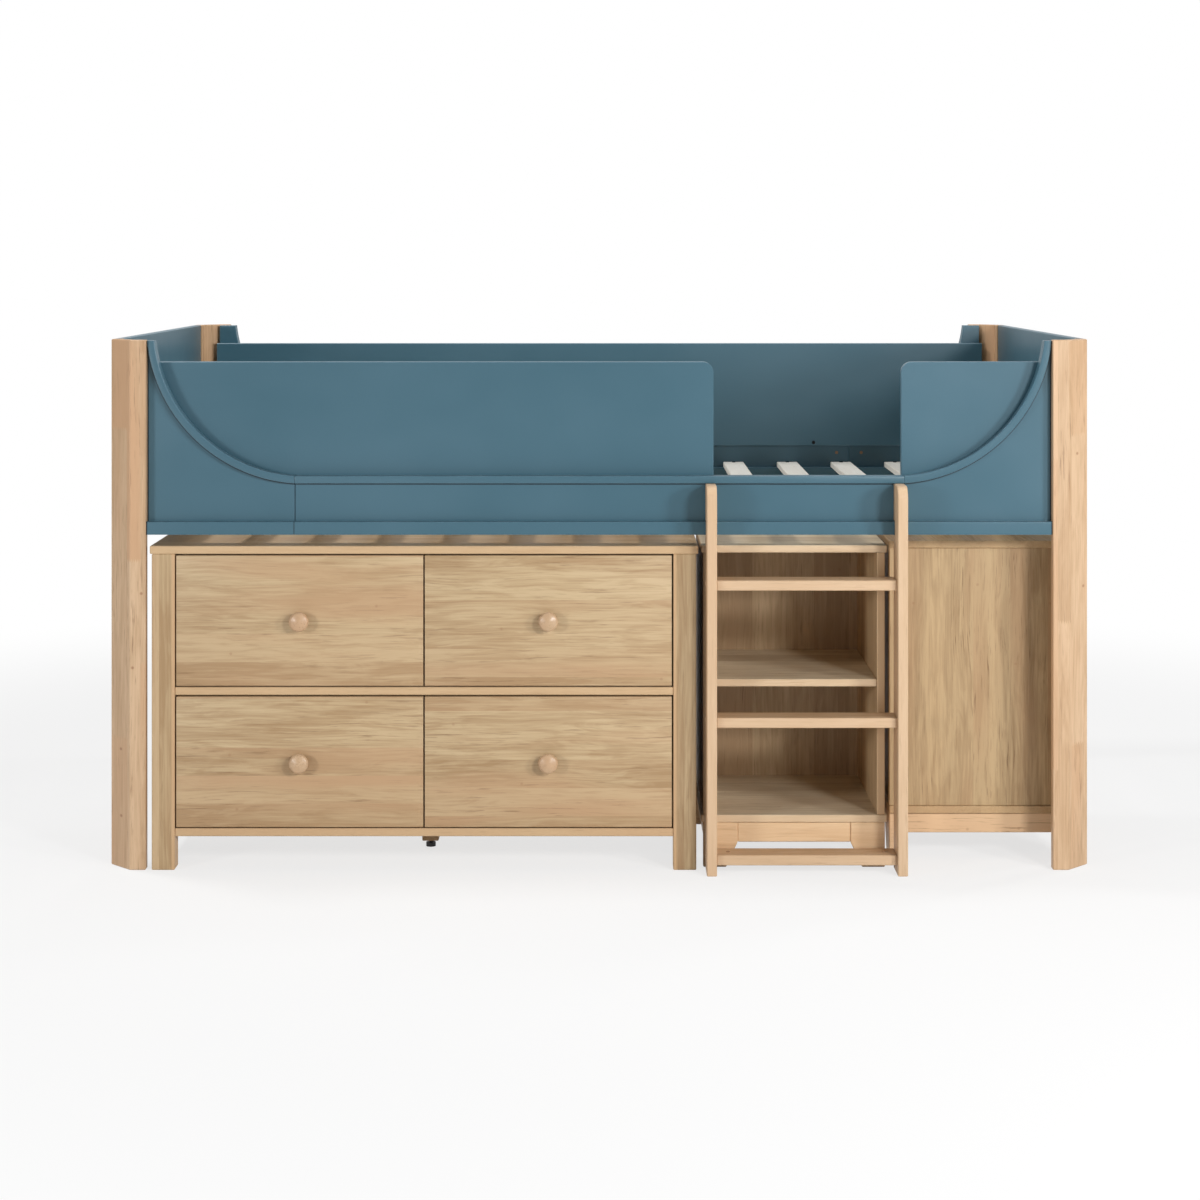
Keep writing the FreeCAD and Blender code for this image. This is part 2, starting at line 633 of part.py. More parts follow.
def make_bookcases():
    """One bookcase behind the ladder, and its twin turned to face the bed's right end."""
    inside = ("case_inner_left_x", "case_inner_right_x")
    whole = ("case_left_x", "case_left_x + case_width")
    shelf_deep = ("case_side_front_y + case_shelf_setback", "case_back_front_y")
    pieces = [
        board("bookcase_top", whole, ("case_front_y", "case_back_y"), ("case_under_top", "case_height")),
        board("bookcase_sides", ("case_side_x", "case_side_x + case_side"),
              ("case_side_front_y", "case_back_y"), ("case_floor_top", "case_under_top"),
              ("X_Axis", "case_side_pitch", "2")),
        board("bookcase_back", inside, ("case_back_front_y", "case_back_y - case_back_inset"),
              ("case_floor_top", "case_under_top"), eased=False),
        board("bookcase_shelf", inside, shelf_deep, ("case_shelf_top - case_board", "case_shelf_top")),
        board("bookcase_floor", whole, ("case_front_y", "case_back_y"),
              ("case_floor_bottom", "case_floor_top")),
        make_case_base(),
    ]
    for piece in pieces:
        keep(piece)
        twin = group("end_" + piece.Label, [piece])
        twin.Placement = FreeCAD.Placement(FreeCAD.Vector(), FreeCAD.Rotation(FreeCAD.Vector(0, 0, 1), 90))
        bind(twin, "Placement.Base.x", "end_case_mid_x + case_mid_y")
        bind(twin, "Placement.Base.y", "end_case_mid_y - case_mid_x")
        keep(twin)


def check_pieces():
    """Stop before anything is written if an object failed or a piece has no sound solid."""
    for item in doc.Objects:
        if {"Invalid", "Error"} & set(item.State):
            raise RuntimeError(f"{item.Label} failed: {item.State}")
    for piece in nodes:
        shape = piece.Shape
        if shape.isNull() or not shape.isValid() or not shape.Solids:
            raise RuntimeError(f"{piece.Label} has no sound solid")


def write_pieces():
    os.makedirs("parts", exist_ok=True)
    for piece in nodes:
        piece.Shape.exportStep(os.path.join("parts", piece.Label + ".step"))


fill_sheet()
make_posts()
make_rails()
make_caps()
make_skirts()
make_guards()
make_end_panels()
make_slat_base()
make_ladder()
make_chest()
make_runners()
make_centre_foot()
make_drawers()
make_bookcases()
doc.recompute()
check_pieces()
write_pieces()
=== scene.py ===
import math

import bpy
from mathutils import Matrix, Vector


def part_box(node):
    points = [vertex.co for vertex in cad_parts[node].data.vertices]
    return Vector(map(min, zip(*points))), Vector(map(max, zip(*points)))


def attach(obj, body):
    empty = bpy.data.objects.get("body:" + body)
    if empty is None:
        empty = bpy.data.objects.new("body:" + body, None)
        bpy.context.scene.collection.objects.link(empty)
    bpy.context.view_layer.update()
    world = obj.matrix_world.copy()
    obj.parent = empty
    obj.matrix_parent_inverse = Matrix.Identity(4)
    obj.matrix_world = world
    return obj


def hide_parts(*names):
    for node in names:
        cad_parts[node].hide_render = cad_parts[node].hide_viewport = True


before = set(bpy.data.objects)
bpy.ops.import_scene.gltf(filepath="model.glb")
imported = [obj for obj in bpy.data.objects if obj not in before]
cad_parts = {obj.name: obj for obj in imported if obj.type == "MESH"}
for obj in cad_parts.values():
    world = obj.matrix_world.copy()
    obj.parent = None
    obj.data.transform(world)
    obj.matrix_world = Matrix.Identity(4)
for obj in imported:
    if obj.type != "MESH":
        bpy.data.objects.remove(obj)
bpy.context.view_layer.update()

# The looks of a low loft bed with a drawer chest and two bookcases, in metres.
# +Z is up and the front faces -Y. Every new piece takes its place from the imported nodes.

MM = 0.001

DRAWERS = ("drawer_lower_left", "drawer_lower_right", "drawer_upper_left", "drawer_upper_right")

# Camera, as the photograph was taken
CAMERA_PLACE = (0.0014, -5.2, 1.2259)
CAMERA_LENS = 70.226
CAMERA_SHIFT = -0.28586
SENSOR_WIDTH = 36

# The ways that boards' broad faces look, and the turns of fixings that are made looking up
UPRIGHT = (0.0, 0.0, 1.0)
ACROSS = (1.0, 0.0, 0.0)
FACING = (0.0, 1.0, 0.0)
QUARTER_TURN = math.radians(90)
TO_FRONT = (QUARTER_TURN, 0, 0)
TO_REAR = (-QUARTER_TURN, 0, 0)
TO_LEFT = (0, -QUARTER_TURN, 0)
TO_RIGHT = (0, QUARTER_TURN, 0)
UPWARDS = (0, 0, 0)

# Shaping of the new pieces
MERGE_REACH = 0.01 * MM
BOARD_EASING = 0.6 * MM
BOARD_STEPS = 3
PAINTED_EASING = 2.0 * MM
PAINTED_STEPS = 4
SKIRT_ROUND = 2.4 * MM
SKIRT_STEPS = 8
SEAM_GAP = 0.3 * MM
SWEEP_BOW_SHARE = 0.1825
SWEEP_STEPS = 64
SWEEP_OVERRUN = math.radians(8)
KNOB_SIDES = 48
KNOB_FOOT = 11 * MM
# Each ring's radius and height in millimetres, from the foot to the crown
KNOB_RINGS = ((10.2, 1.2), (9.5, 4.0), (10.6, 6.6), (13.4, 9.8), (17.0, 13.0), (19.1, 15.2), (19.5, 17.0),
              (19.2, 19.2), (18.2, 21.2), (16.4, 22.9), (14.2, 24.0), (11.5, 24.9), (8.0, 26.4), (4.0, 27.5),
              (1.0, 27.9))
# Edges that bend less than this, in degrees, are shaded smooth
BOARD_SMOOTH = 35
KNOB_SMOOTH = 50
MOULDING_SMOOTH = 40
FIXING_SMOOTH = 30

# Small fixings; the shares are of their radius or their rise
SCREW_RADIUS = 4.2 * MM
SCREW_RISE = 1.8 * MM
SCREW_SIDES = 24
SCREW_ROUND_SHARE = 0.7
CROSS_LENGTH_SHARE = 0.62
CROSS_WIDTH_SHARE = 0.13
CROSS_FLOOR_SHARE = 0.45
CAP_RADIUS = 3.8 * MM
CAP_RISE = 1.2 * MM
CAP_SIDES = 28
CAP_ROUND_SHARE = 0.45
CAP_RIM_SHARE = 0.3
CAP_DISH_SHARE = 0.25
TOP_SHARE = 0.9
ROUND_STEPS = 3
FACES_UP = 0.99
GUARD_SCREW_PITCH = 0.523
GUARD_SCREW_RISE = 8 * MM
SLAT_SCREW_INSET = 14 * MM
SLAT_HALF_WIDTH = 25 * MM
JOINT_CAP_SPREAD = 30 * MM
JOINT_CAP_DROP = 40 * MM
RUNG_PLUG_INSET = 24 * MM
STILE_CAP_INSET = 16 * MM
LEAST_SPACING = 60 * MM
FAR_OFF = 9.0

# Grain: how often each noise turns over in a metre along the grain, across it and through the board
SWAY_TURNS = (3.2, 8.0, 8.0)
FADE_TURNS = (1.7, 0.0, 0.0)
CLOUD_TURNS = (2.4, 15.0, 15.0)
FLAME_TURNS = (5.5, 48.0, 48.0)
STREAK_TURNS = (6.0, 210.0, 210.0)
SWIRL_TURNS = (1.3, 9.0, 9.0)
CALM_TURNS = (1.1, 6.0, 6.0)
FIBRE_TURNS = (9.0, 330.0, 330.0)
FLECK_TURNS = (15.0, 320.0, 320.0)
FLECK_GROUP_TURNS = (2.6, 24.0, 24.0)
WARM_TURNS = (1.5, 12.0, 12.0)
NOISE_MIDDLE = 0.5
GRAIN_SWAY = 22 * MM
CLOUD_DEPTH = 1.3
FLAME_DEPTH = 0.38
STREAK_DEPTH = 1.5
RINGS_IN_SWIRL = 95.0
MIDDLE_TONE = 0.45
WARM_MIDDLE = 0.4
WARMEST = 0.6
STRIP_WAVE = 2.1
STRIP_UNEVENNESS = 0.2
STRIP_STEP = 0.5
STRIP_MIDDLE = 0.75
STAVE_SHIFT = 7.3
WELL_ALONG = 100.0
NEXT_CUT_ALONG = 17.0
NEXT_CUT_THROUGH = 5.0
FINGER_PITCH = 4.5 * MM
FINGER_SLOPE = 3.8
ONE_LENGTH = 1000.0
KNOT_TURNS = 7.0
KNOT_CORE = 0.008
KNOT_RIM = 0.03
KNOT_RARITY = 0.6
LIPPING = 9.5 * MM
LIPPING_FADE = 0.4 * MM
LIPPING_SHARE = 0.8
BAND_SHARE = 0.55

# Painted shade on the rails: thin dark lines where they are jointed to the posts and at the seams, and a painted
# shadow under the cap
JOINT_LINE = 3.2 * MM
SEAM_LINE = 2.4 * MM
SEAM_DEPTH = 0.8
CAP_SHADOW = 4.2 * MM
CAP_SHADOW_DEPTH = 0.9
FRONT_OUTWARD = -1.0
REAR_OUTWARD = 1.0

# Finishes: turns of their noises in a metre, shares of their marks, and reliefs as a strength and a depth
WEAR_TURNS = (14.0, 14.0, 14.0)
SMEAR_TURNS = (5.0, 5.0, 5.0)
DUST_TURNS = (30.0, 30.0, 30.0)
WOOD_HANDLING = 0.22
WOOD_DUST_SHARE = 0.05
WOOD_RELIEF = (0.16, 0.4 * MM)
DRIFT_TURNS = (1.6, 1.6, 2.4)
DRIFT_SHARE = 0.22
GRIT_TURNS = (650.0, 650.0, 650.0)
GRIT_SHARE = 0.06
# The eased edges of paint are paler: wear, and a painted highlight along them
PAINT_WEAR_AND_SHEEN_SHARE = 0.5
PAINT_HANDLING = 0.16
PAINT_DUST_SHARE = 0.06
PAINT_ROUGHNESS = 0.34
PEEL_TURNS = (260.0, 260.0, 260.0)
PAINT_RELIEF = (0.05, 0.5 * MM)
MOULDED_TURNS = (900.0, 900.0, 900.0)
SCUFF_TURNS = (70.0, 70.0, 240.0)
SCUFF_SHARE = 0.5
PLASTIC_RELIEF = (0.2, 0.2 * MM)
RUB_TURNS = (420.0, 420.0, 420.0)
RUB_SHARE = 0.5
STEEL_METALLIC = 0.8
STEEL_RELIEF = (0.12, 0.1 * MM)

# Colours
PORE_SHADE = (0.42, 0.33, 0.26, 1.0)
KNOT_BROWN = "8f6040"
PALE_ARRIS = "efd6b0"
# Painted shade laid on the drawer fronts' eased edges, to darken the gaps between them
DRAWER_GAP_SHADE = "2e2116"
WOOD_DUST = "e8e4dc"
BLUE = ("385d6c", "628191")
BLUE_GRIT = "2f4855"
BLUE_DUST = "c9d2d6"
# Colour of the painted shade at the rails' joints and of the painted shadow under the cap
JOINT_SHADE = "0f1b24"
STEEL_BLACK = "17181a"
STEEL_BRIGHT = "5c5f63"
WHITE = (1.0, 1.0, 1.0, 1.0)
PAPER = (0.82, 0.82, 0.82, 1.0)

# Woods by their use
POST = dict(pale="cdae8c", deep="af8d69", blush="c79f7a", strip=0.034, contrast=0.6, stave=0.62, figure=0.14,
            fibres=1.4, pores=0.7, knots=0.7)
LADDER = dict(pale="d0b392", deep="b99773", blush="cba682", edge="d1b392", strip=0.2, contrast=0.2, figure=0.2)
SLAT = dict(pale="faf6ee", deep="ece6da", blush="f6f1e6", edge="f8f3e9", strip=0.4, contrast=0.2, figure=0.25,
            pores=0.15)
CHEST_BACK = dict(pale="bfac8d", deep="aa9272", blush="b79b7b", figure=0.15)
# The drawer fronts' arris is a painted shade that darkens their gaps
DRAWER = dict(contrast=0.6, flame=1.0, fibres=1.2, pores=0.6, arris=DRAWER_GAP_SHADE, arris_share=0.9)
DRAWER_CUTS = ((3.0, 0.021, 0.0), (9.1, 0.046, 0.0), (14.7, 0.004, 0.0), (21.3, 0.034, 0.0))
KNOB = dict(pale="c5a887", deep="b19371", blush="bf9b79", strip=0.5, contrast=0.1, figure=0.15, gloss=-0.14)
PLUG = dict(pale="a38262", deep="8a6a4c", blush="997658", strip=0.5, contrast=0.1, figure=0.1)
BOX = dict(pale="c6b495", deep="b49c7b", blush="bfa683", strip=0.3, figure=0.2)
RUNNER = dict(pale="c4ab86", deep="ab8c65", strip=0.3)
CASE = dict(pale="c8ad88", deep="a38764", blush="bc9c78", edge="cba880", strip=0.095, contrast=0.9, figure=0.14)
# A paler, greyer copy of the case wood for its top, shelf and floor: painted light, standing in for the brighter,
# less coloured light on their upward faces
CASE_SHELF_LIT = CASE | dict(pale="dccdb2", deep="baa68a", blush="d0bb9e")
END_CASE = dict(pale="bba078", deep="967954", blush="b08d67", edge="bd9a70", strip=0.095, contrast=0.9,
                figure=0.2, flame=1.0, pores=0.8)
BASE = dict(pale="dfc29c", deep="c6a37b", blush="d9b58e", strip=0.2, contrast=0.3, figure=0.12)

# Studio
FLOOR_SIZE = 60
FLOOR_WHITE_SHARE = 0.72
FLOOR_FADE_START = 1.6
FLOOR_FADE_END = 3.2
GLOSS_FADE_START = 4.0
GLOSS_FADE_END = 20.0
FAR_FLOOR_IN_GLOSS = 0.3
SURROUND_IN_GLOSS = 0.7
SURROUND_LIGHT = 0.13
# Name, place, aim, size, power, and whether it shows in a gloss
LAMPS = (
    ("key", (2.2, -3.95, 1.9), (0.2, -0.4, 0.6), 0.6, 78, True),
    ("side_key", (3.3, -3.2, 1.5), (0.2, -0.4, 0.6), 0.6, 70, True),
    ("left", (-3.2, -3.4, 1.2), (-0.2, -0.4, 0.6), 0.7, 56, True),
    ("high_left", (-1.9, 0.05, 3.9), (0.0, 0.0, 0.6), 0.5, 54, True),
    ("high_right", (3.1, 1.1, 3.35), (0.0, 0.0, 0.65), 0.5, 24, True),
    ("overhead", (0.3, 0.0, 3.4), (0.2, 0.0, 0.5), 2.0, 22, True),
    ("rear", (-0.2, 4.7, 1.7), (0.0, 0.4, 0.6), 1.4, 58, False),
)


# Nodes of the materials

def hue(code):
    """A colour written as six hex digits, as the shaders read it."""
    shares = (int(code[at:at + 2], 16) / 255 for at in (0, 2, 4))
    return (*((s / 12.92 if s <= 0.04045 else ((s + 0.055) / 1.055) ** 2.4) for s in shares), 1.0)


def feed(tree, made, inputs):
    """Link each of a node's inputs, or give it its value."""
    for socket, value in inputs.items():
        if isinstance(value, bpy.types.NodeSocket):
            tree.links.new(value, made.inputs[socket])
        else:
            made.inputs[socket].default_value = value
    return made


def node(tree, kind, inputs, **settings):
    """A shader node with its settings and inputs."""
    made = tree.nodes.new("ShaderNode" + kind)
    for name, value in settings.items():
        setattr(made, name, value)
    return feed(tree, made, inputs)


def calc(tree, operation, first, second=0.0):
    """One step of arithmetic."""
    return node(tree, "Math", {0: first, 1: second}, operation=operation).outputs[0]


def ramp(tree, value, low, high, start=0.0, end=1.0):
    """A soft step from start to end while the value goes from low to high."""
    spans = {"Value": value, "From Min": low, "From Max": high, "To Min": start, "To Max": end}
    return node(tree, "MapRange", spans, interpolation_type="SMOOTHSTEP").outputs["Result"]


def mixed(tree, share, first, second, way="MIX"):
    """Two colours laid over each other. The mix node's colours are its inputs 6 and 7 and its output 2."""
    return node(tree, "Mix", {0: share, 6: first, 7: second}, data_type="RGBA", blend_type=way).outputs[2]


def speckle(tree, space, turns, detail, roughness=0.5, distortion=0.0):
    """Noise that turns over so many times a metre along each axis."""
    stretched = node(tree, "Mapping", {"Vector": space, "Scale": turns}).outputs[0]
    return node(tree, "TexNoise", {"Vector": stretched, "Scale": 1.0, "Detail": detail, "Roughness": roughness,
                                   "Distortion": distortion}).outputs[0]


def swing(tree, noise, depth):
    """How far a noise is from its middle, times a depth."""
    return calc(tree, "MULTIPLY", calc(tree, "SUBTRACT", noise, NOISE_MIDDLE), depth)


def parts_of(tree, vector):
    """The X, Y and Z of a vector."""
    return node(tree, "SeparateXYZ", {0: vector}).outputs


def facing_of(tree):
    """The direction in which a surface looks."""
    return node(tree, "NewGeometry", {}).outputs["Normal"]


def added(tree, first, second):
    """The sum of two vectors."""
    return node(tree, "VectorMath", {0: first, 1: second}, operation="ADD").outputs[0]


def new_group(name, inputs, outputs):
    """An empty node group with its named sockets."""
    tree = bpy.data.node_groups.new(name, "ShaderNodeTree")
    for title, kind, value in inputs:
        socket = tree.interface.new_socket(name=title, in_out="INPUT", socket_type="NodeSocket" + kind)
        socket.default_value = value
    for title, kind in outputs:
        tree.interface.new_socket(name=title, in_out="OUTPUT", socket_type="NodeSocket" + kind)
    given = tree.nodes.new("NodeGroupInput").outputs
    result = tree.nodes.new("NodeGroupOutput").inputs
    return tree, given, result


def placed_group(tree, group, inputs):
    """A group set into a material, with its own values."""
    made = tree.nodes.new("ShaderNodeGroup")
    made.node_tree = group
    return feed(tree, made, inputs).outputs


def make_board_grain():
    """Edge-glued strips and finger-jointed staves of wood, with clouds, flames, fibres, pores and knots.

    X runs along the grain and Y across the strips.
    """
    tree, given, result = new_group(
        "Board grain",
        [("Grain space", "Vector", (0, 0, 0)), ("Pale", "Color", (1, 1, 1, 1)), ("Deep", "Color", (0, 0, 0, 1)),
         ("Blush", "Color", (1, 1, 1, 1)), ("Strip height", "Float", 0.06), ("Strip contrast", "Float", 0.4),
         ("Stave length", "Float", ONE_LENGTH), ("Figure", "Float", 0.3), ("Flame", "Float", 0.5),
         ("Fibres", "Float", 0.5), ("Pores", "Float", 0.4), ("Knots", "Float", 0.0)],
        [("Colour", "Color"), ("Roughness", "Float"), ("Height", "Float")])

    # Strips and staves, each with its own luck and its own cut of the grain
    apart = parts_of(tree, given["Grain space"])
    rows = calc(tree, "DIVIDE", apart["Y"], given["Strip height"])
    wave = calc(tree, "SINE", calc(tree, "MULTIPLY", rows, STRIP_WAVE))
    strip = calc(tree, "FLOOR", calc(tree, "ADD", rows, calc(tree, "MULTIPLY", wave, STRIP_UNEVENNESS)))
    start = node(tree, "TexWhiteNoise", {"W": strip}, noise_dimensions="1D").outputs["Value"]
    begun = calc(tree, "MULTIPLY", start, STAVE_SHIFT)
    fingers = calc(tree, "MULTIPLY", calc(tree, "PINGPONG", apart["Y"], FINGER_PITCH / 2), FINGER_SLOPE)
    along = calc(tree, "ADD", calc(tree, "ADD", apart["X"], fingers), calc(tree, "ADD", begun, WELL_ALONG))
    stave = calc(tree, "FLOOR", calc(tree, "DIVIDE", along, given["Stave length"]))
    number = node(tree, "CombineXYZ", {"X": strip, "Y": stave}).outputs[0]
    drawn = node(tree, "TexWhiteNoise", {"Vector": number}, noise_dimensions="2D").outputs["Color"]
    luck = node(tree, "SeparateColor", {0: drawn}).outputs
    shift = node(tree, "CombineXYZ", {"X": calc(tree, "MULTIPLY", luck["Red"], NEXT_CUT_ALONG),
                                      "Z": calc(tree, "MULTIPLY", luck["Green"], NEXT_CUT_THROUGH)}).outputs[0]
    space = added(tree, given["Grain space"], shift)
    sway = swing(tree, speckle(tree, space, SWAY_TURNS, 2.0), GRAIN_SWAY)
    space = added(tree, space, node(tree, "CombineXYZ", {"Y": sway}).outputs[0])

    # Tones, from broad to fine
    fade = ramp(tree, speckle(tree, space, FADE_TURNS, 1.0), 0.35, 0.60, 0.3, 1.0)
    step = calc(tree, "MULTIPLY", calc(tree, "FLOORED_MODULO", strip, 2.0), STRIP_STEP)
    level = calc(tree, "SUBTRACT", calc(tree, "ADD", luck["Red"], step), STRIP_MIDDLE)
    strip_tone = calc(tree, "MULTIPLY", calc(tree, "MULTIPLY", level, fade), given["Strip contrast"])
    clouds = swing(tree, speckle(tree, space, CLOUD_TURNS, 3.0, 0.55), CLOUD_DEPTH)
    flames = swing(tree, ramp(tree, speckle(tree, space, FLAME_TURNS, 4.0, 0.6, 0.9), 0.42, 0.58), FLAME_DEPTH)
    streaks = swing(tree, speckle(tree, space, STREAK_TURNS, 4.0, 0.65), STREAK_DEPTH)
    swirl = speckle(tree, space, SWIRL_TURNS, 2.0, 0.45, 0.5)
    rings = ramp(tree, calc(tree, "SINE", calc(tree, "MULTIPLY", swirl, RINGS_IN_SWIRL)), 0.1, 1.0)
    calm = ramp(tree, speckle(tree, space, CALM_TURNS, 1.0), 0.42, 0.62)
    figure = calc(tree, "MULTIPLY", calc(tree, "MULTIPLY", rings, calm), given["Figure"])
    fibres = speckle(tree, space, FIBRE_TURNS, 5.0, 0.7)
    flecks = ramp(tree, speckle(tree, space, FLECK_TURNS, 3.0, 0.6), 0.56, 0.70)
    grouped = ramp(tree, speckle(tree, space, FLECK_GROUP_TURNS, 2.0), 0.40, 0.66, 0.25, 1.0)
    pores = calc(tree, "MULTIPLY", calc(tree, "MULTIPLY", flecks, grouped), given["Pores"])

    # Colour
    broad = calc(tree, "ADD", strip_tone, clouds)
    fine = calc(tree, "ADD", figure, swing(tree, fibres, given["Fibres"]))
    marbled = calc(tree, "MULTIPLY", calc(tree, "ADD", flames, streaks), given["Flame"])
    tone = calc(tree, "ADD", calc(tree, "ADD", broad, fine), marbled)
    colour = mixed(tree, calc(tree, "ADD", tone, MIDDLE_TONE), given["Pale"], given["Deep"])
    warm = ramp(tree, speckle(tree, space, WARM_TURNS, 2.0), 0.45, 0.68, 0.0, WARMEST)
    stave_warmth = calc(tree, "MULTIPLY", calc(tree, "SUBTRACT", luck["Blue"], WARM_MIDDLE), WARMEST)
    colour = mixed(tree, calc(tree, "ADD", warm, stave_warmth), colour, given["Blush"])
    colour = mixed(tree, pores, colour, PORE_SHADE, "MULTIPLY")
    spots = node(tree, "TexVoronoi", {"Vector": given["Grain space"], "Scale": KNOT_TURNS},
                 voronoi_dimensions="2D").outputs
    chance = node(tree, "SeparateColor", {0: spots["Color"]}).outputs["Red"]
    rare = calc(tree, "GREATER_THAN", chance, KNOT_RARITY)
    knots = calc(tree, "MULTIPLY", ramp(tree, spots["Distance"], KNOT_CORE, KNOT_RIM, 1.0, 0.0), rare)
    colour = mixed(tree, calc(tree, "MULTIPLY", knots, given["Knots"]), colour, hue(KNOT_BROWN))
    tree.links.new(colour, result["Colour"])
    tree.links.new(ramp(tree, fibres, 0.3, 0.7, 0.42, 0.58), result["Roughness"])
    tree.links.new(calc(tree, "SUBTRACT", fibres, pores), result["Height"])
    return tree


def make_cut_edge():
    """A mask of the narrow edges of a board, from the direction in which its broad faces look."""
    tree, given, result = new_group("Cut edge", [("Broad face", "Vector", (0, 0, 1))], [("Mask", "Float")])
    both = {0: facing_of(tree), 1: given["Broad face"]}
    along = node(tree, "VectorMath", both, operation="DOT_PRODUCT").outputs["Value"]
    tree.links.new(ramp(tree, calc(tree, "ABSOLUTE", along), 0.45, 0.9, 1.0, 0.0), result["Mask"])
    return tree


def make_arris_wear_and_light():
    """A broken mask of the eased edges, whose faces look along no main direction. It carries paler wear on wood,
    wear with a painted highlight on paint, and a painted shade on the drawer fronts.
    """
    tree, given, result = new_group("Arris wear and painted light", [("Wear space", "Vector", (0, 0, 0))], [("Mask", "Float")])
    apart = parts_of(tree, facing_of(tree))
    sides = [calc(tree, "ABSOLUTE", apart[axis]) for axis in "XYZ"]
    most = calc(tree, "MAXIMUM", calc(tree, "MAXIMUM", sides[0], sides[1]), sides[2])
    eased = ramp(tree, most, 0.80, 0.97, 1.0, 0.0)
    broken = ramp(tree, speckle(tree, given["Wear space"], WEAR_TURNS, 4.0, 0.65), 0.3, 0.7, 0.35, 1.0)
    tree.links.new(calc(tree, "MULTIPLY", eased, broken), result["Mask"])
    return tree


def make_handled():
    """Faint marks of handling: where a finish has been polished a little or has gathered dust."""
    tree, given, result = new_group(
        "Handled", [("Mark space", "Vector", (0, 0, 0)), ("Strength", "Float", 0.1)],
        [("Gloss change", "Float"), ("Dust", "Float")])
    smears = speckle(tree, given["Mark space"], SMEAR_TURNS, 6.0, 0.7, 0.8)
    tree.links.new(swing(tree, smears, given["Strength"]), result["Gloss change"])
    upward = ramp(tree, parts_of(tree, facing_of(tree))["Z"], 0.6, 1.0)
    settled = ramp(tree, speckle(tree, given["Mark space"], DUST_TURNS, 3.0), 0.4, 0.75)
    tree.links.new(calc(tree, "MULTIPLY", upward, settled), result["Dust"])
    return tree


board_grain = make_board_grain()
cut_edge = make_cut_edge()
arris_wear_and_light = make_arris_wear_and_light()
handled = make_handled()


# Materials

def new_material(name):
    """An empty material with its shader, and the object's own space."""
    material = bpy.data.materials.new(name)
    material.use_nodes = True
    tree = material.node_tree
    tree.nodes.clear()
    shader = tree.nodes.new("ShaderNodeBsdfPrincipled")
    output = tree.nodes.new("ShaderNodeOutputMaterial")
    tree.links.new(shader.outputs["BSDF"], output.inputs["Surface"])
    return material, tree, shader, tree.nodes.new("ShaderNodeTexCoord").outputs["Object"]


def finish(tree, shader, colour, roughness, height, relief):
    """A shader's colour, roughness and fine relief."""
    tree.links.new(colour, shader.inputs["Base Color"])
    tree.links.new(roughness, shader.inputs["Roughness"])
    strength, depth = relief
    bump = node(tree, "Bump", {"Strength": strength, "Distance": depth, "Height": height})
    tree.links.new(bump.outputs["Normal"], shader.inputs["Normal"])


def grain_space(tree, space, axes, offset):
    """The object's space with the grain along its first axis, the strips stacked along its second."""
    apart = parts_of(tree, space)
    turned = node(tree, "CombineXYZ", {to: apart[axis] for to, axis in zip("XYZ", axes)}).outputs[0]
    return node(tree, "Mapping", {"Vector": turned, "Location": offset}).outputs[0]


def wood(name, axes, broad_face=None, offset=(0.0, 0.0, 0.0), pale="c2aa85", deep="a1835e", blush="b6936f",
         edge="c1a17b", strip=0.070, contrast=0.75, stave=ONE_LENGTH, figure=0.12, flame=0.75, fibres=1.2,
         pores=0.6, knots=0.3, gloss=0.0, lipping=None, arris=PALE_ARRIS, arris_share=0.18):
    """Wood-grained board.

    The axes give the grain, the strips and the thickness. A board with a broad face has banded edges and an arris
    mark: paler wear by default, while the drawer fronts' dark arris is a painted shade of the gaps between them.
    Lipping is the middle and the half width of what stands between two lipped uprights.
    """
    material, tree, shader, space = new_material(name)
    grain = placed_group(tree, board_grain, {
        "Grain space": grain_space(tree, space, axes, offset), "Pale": hue(pale), "Deep": hue(deep),
        "Blush": hue(blush), "Strip height": strip, "Strip contrast": contrast, "Stave length": stave,
        "Figure": figure, "Flame": flame, "Fibres": fibres, "Pores": pores, "Knots": knots})
    colour = grain["Colour"]
    if lipping:
        middle, inner = lipping
        out = calc(tree, "ABSOLUTE", calc(tree, "SUBTRACT", parts_of(tree, space)["X"], middle))
        lip = ramp(tree, out, inner + LIPPING - LIPPING_FADE, inner + LIPPING, LIPPING_SHARE, 0.0)
        colour = mixed(tree, lip, colour, hue(edge))
    if broad_face:
        band = placed_group(tree, cut_edge, {"Broad face": broad_face})["Mask"]
        colour = mixed(tree, band, colour, mixed(tree, BAND_SHARE, colour, hue(edge)))
        # The arris mark: paler wear, and on the drawer fronts a painted shade of their gaps
        edge_wear_and_light = placed_group(tree, arris_wear_and_light, {"Wear space": space})["Mask"]
        colour = mixed(tree, calc(tree, "MULTIPLY", edge_wear_and_light, arris_share), colour, hue(arris))
    marks = placed_group(tree, handled, {"Mark space": space, "Strength": WOOD_HANDLING})
    colour = mixed(tree, calc(tree, "MULTIPLY", marks["Dust"], WOOD_DUST_SHARE), colour, hue(WOOD_DUST))
    roughness = calc(tree, "ADD", calc(tree, "ADD", grain["Roughness"], marks["Gloss change"]), gloss)
    finish(tree, shader, colour, roughness, grain["Height"], WOOD_RELIEF)
    return material


def sweep_centre(start, end):
    """The centre of the arc that a swept rail end follows, from its two ends and its bow."""
    chord = end - start
    radius = chord.length * (1 / (8 * SWEEP_BOW_SHARE) + SWEEP_BOW_SHARE / 2)
    inward = Vector((-chord.y, chord.x)).normalized()
    return (start + end) / 2 + inward * (radius - SWEEP_BOW_SHARE * chord.length)


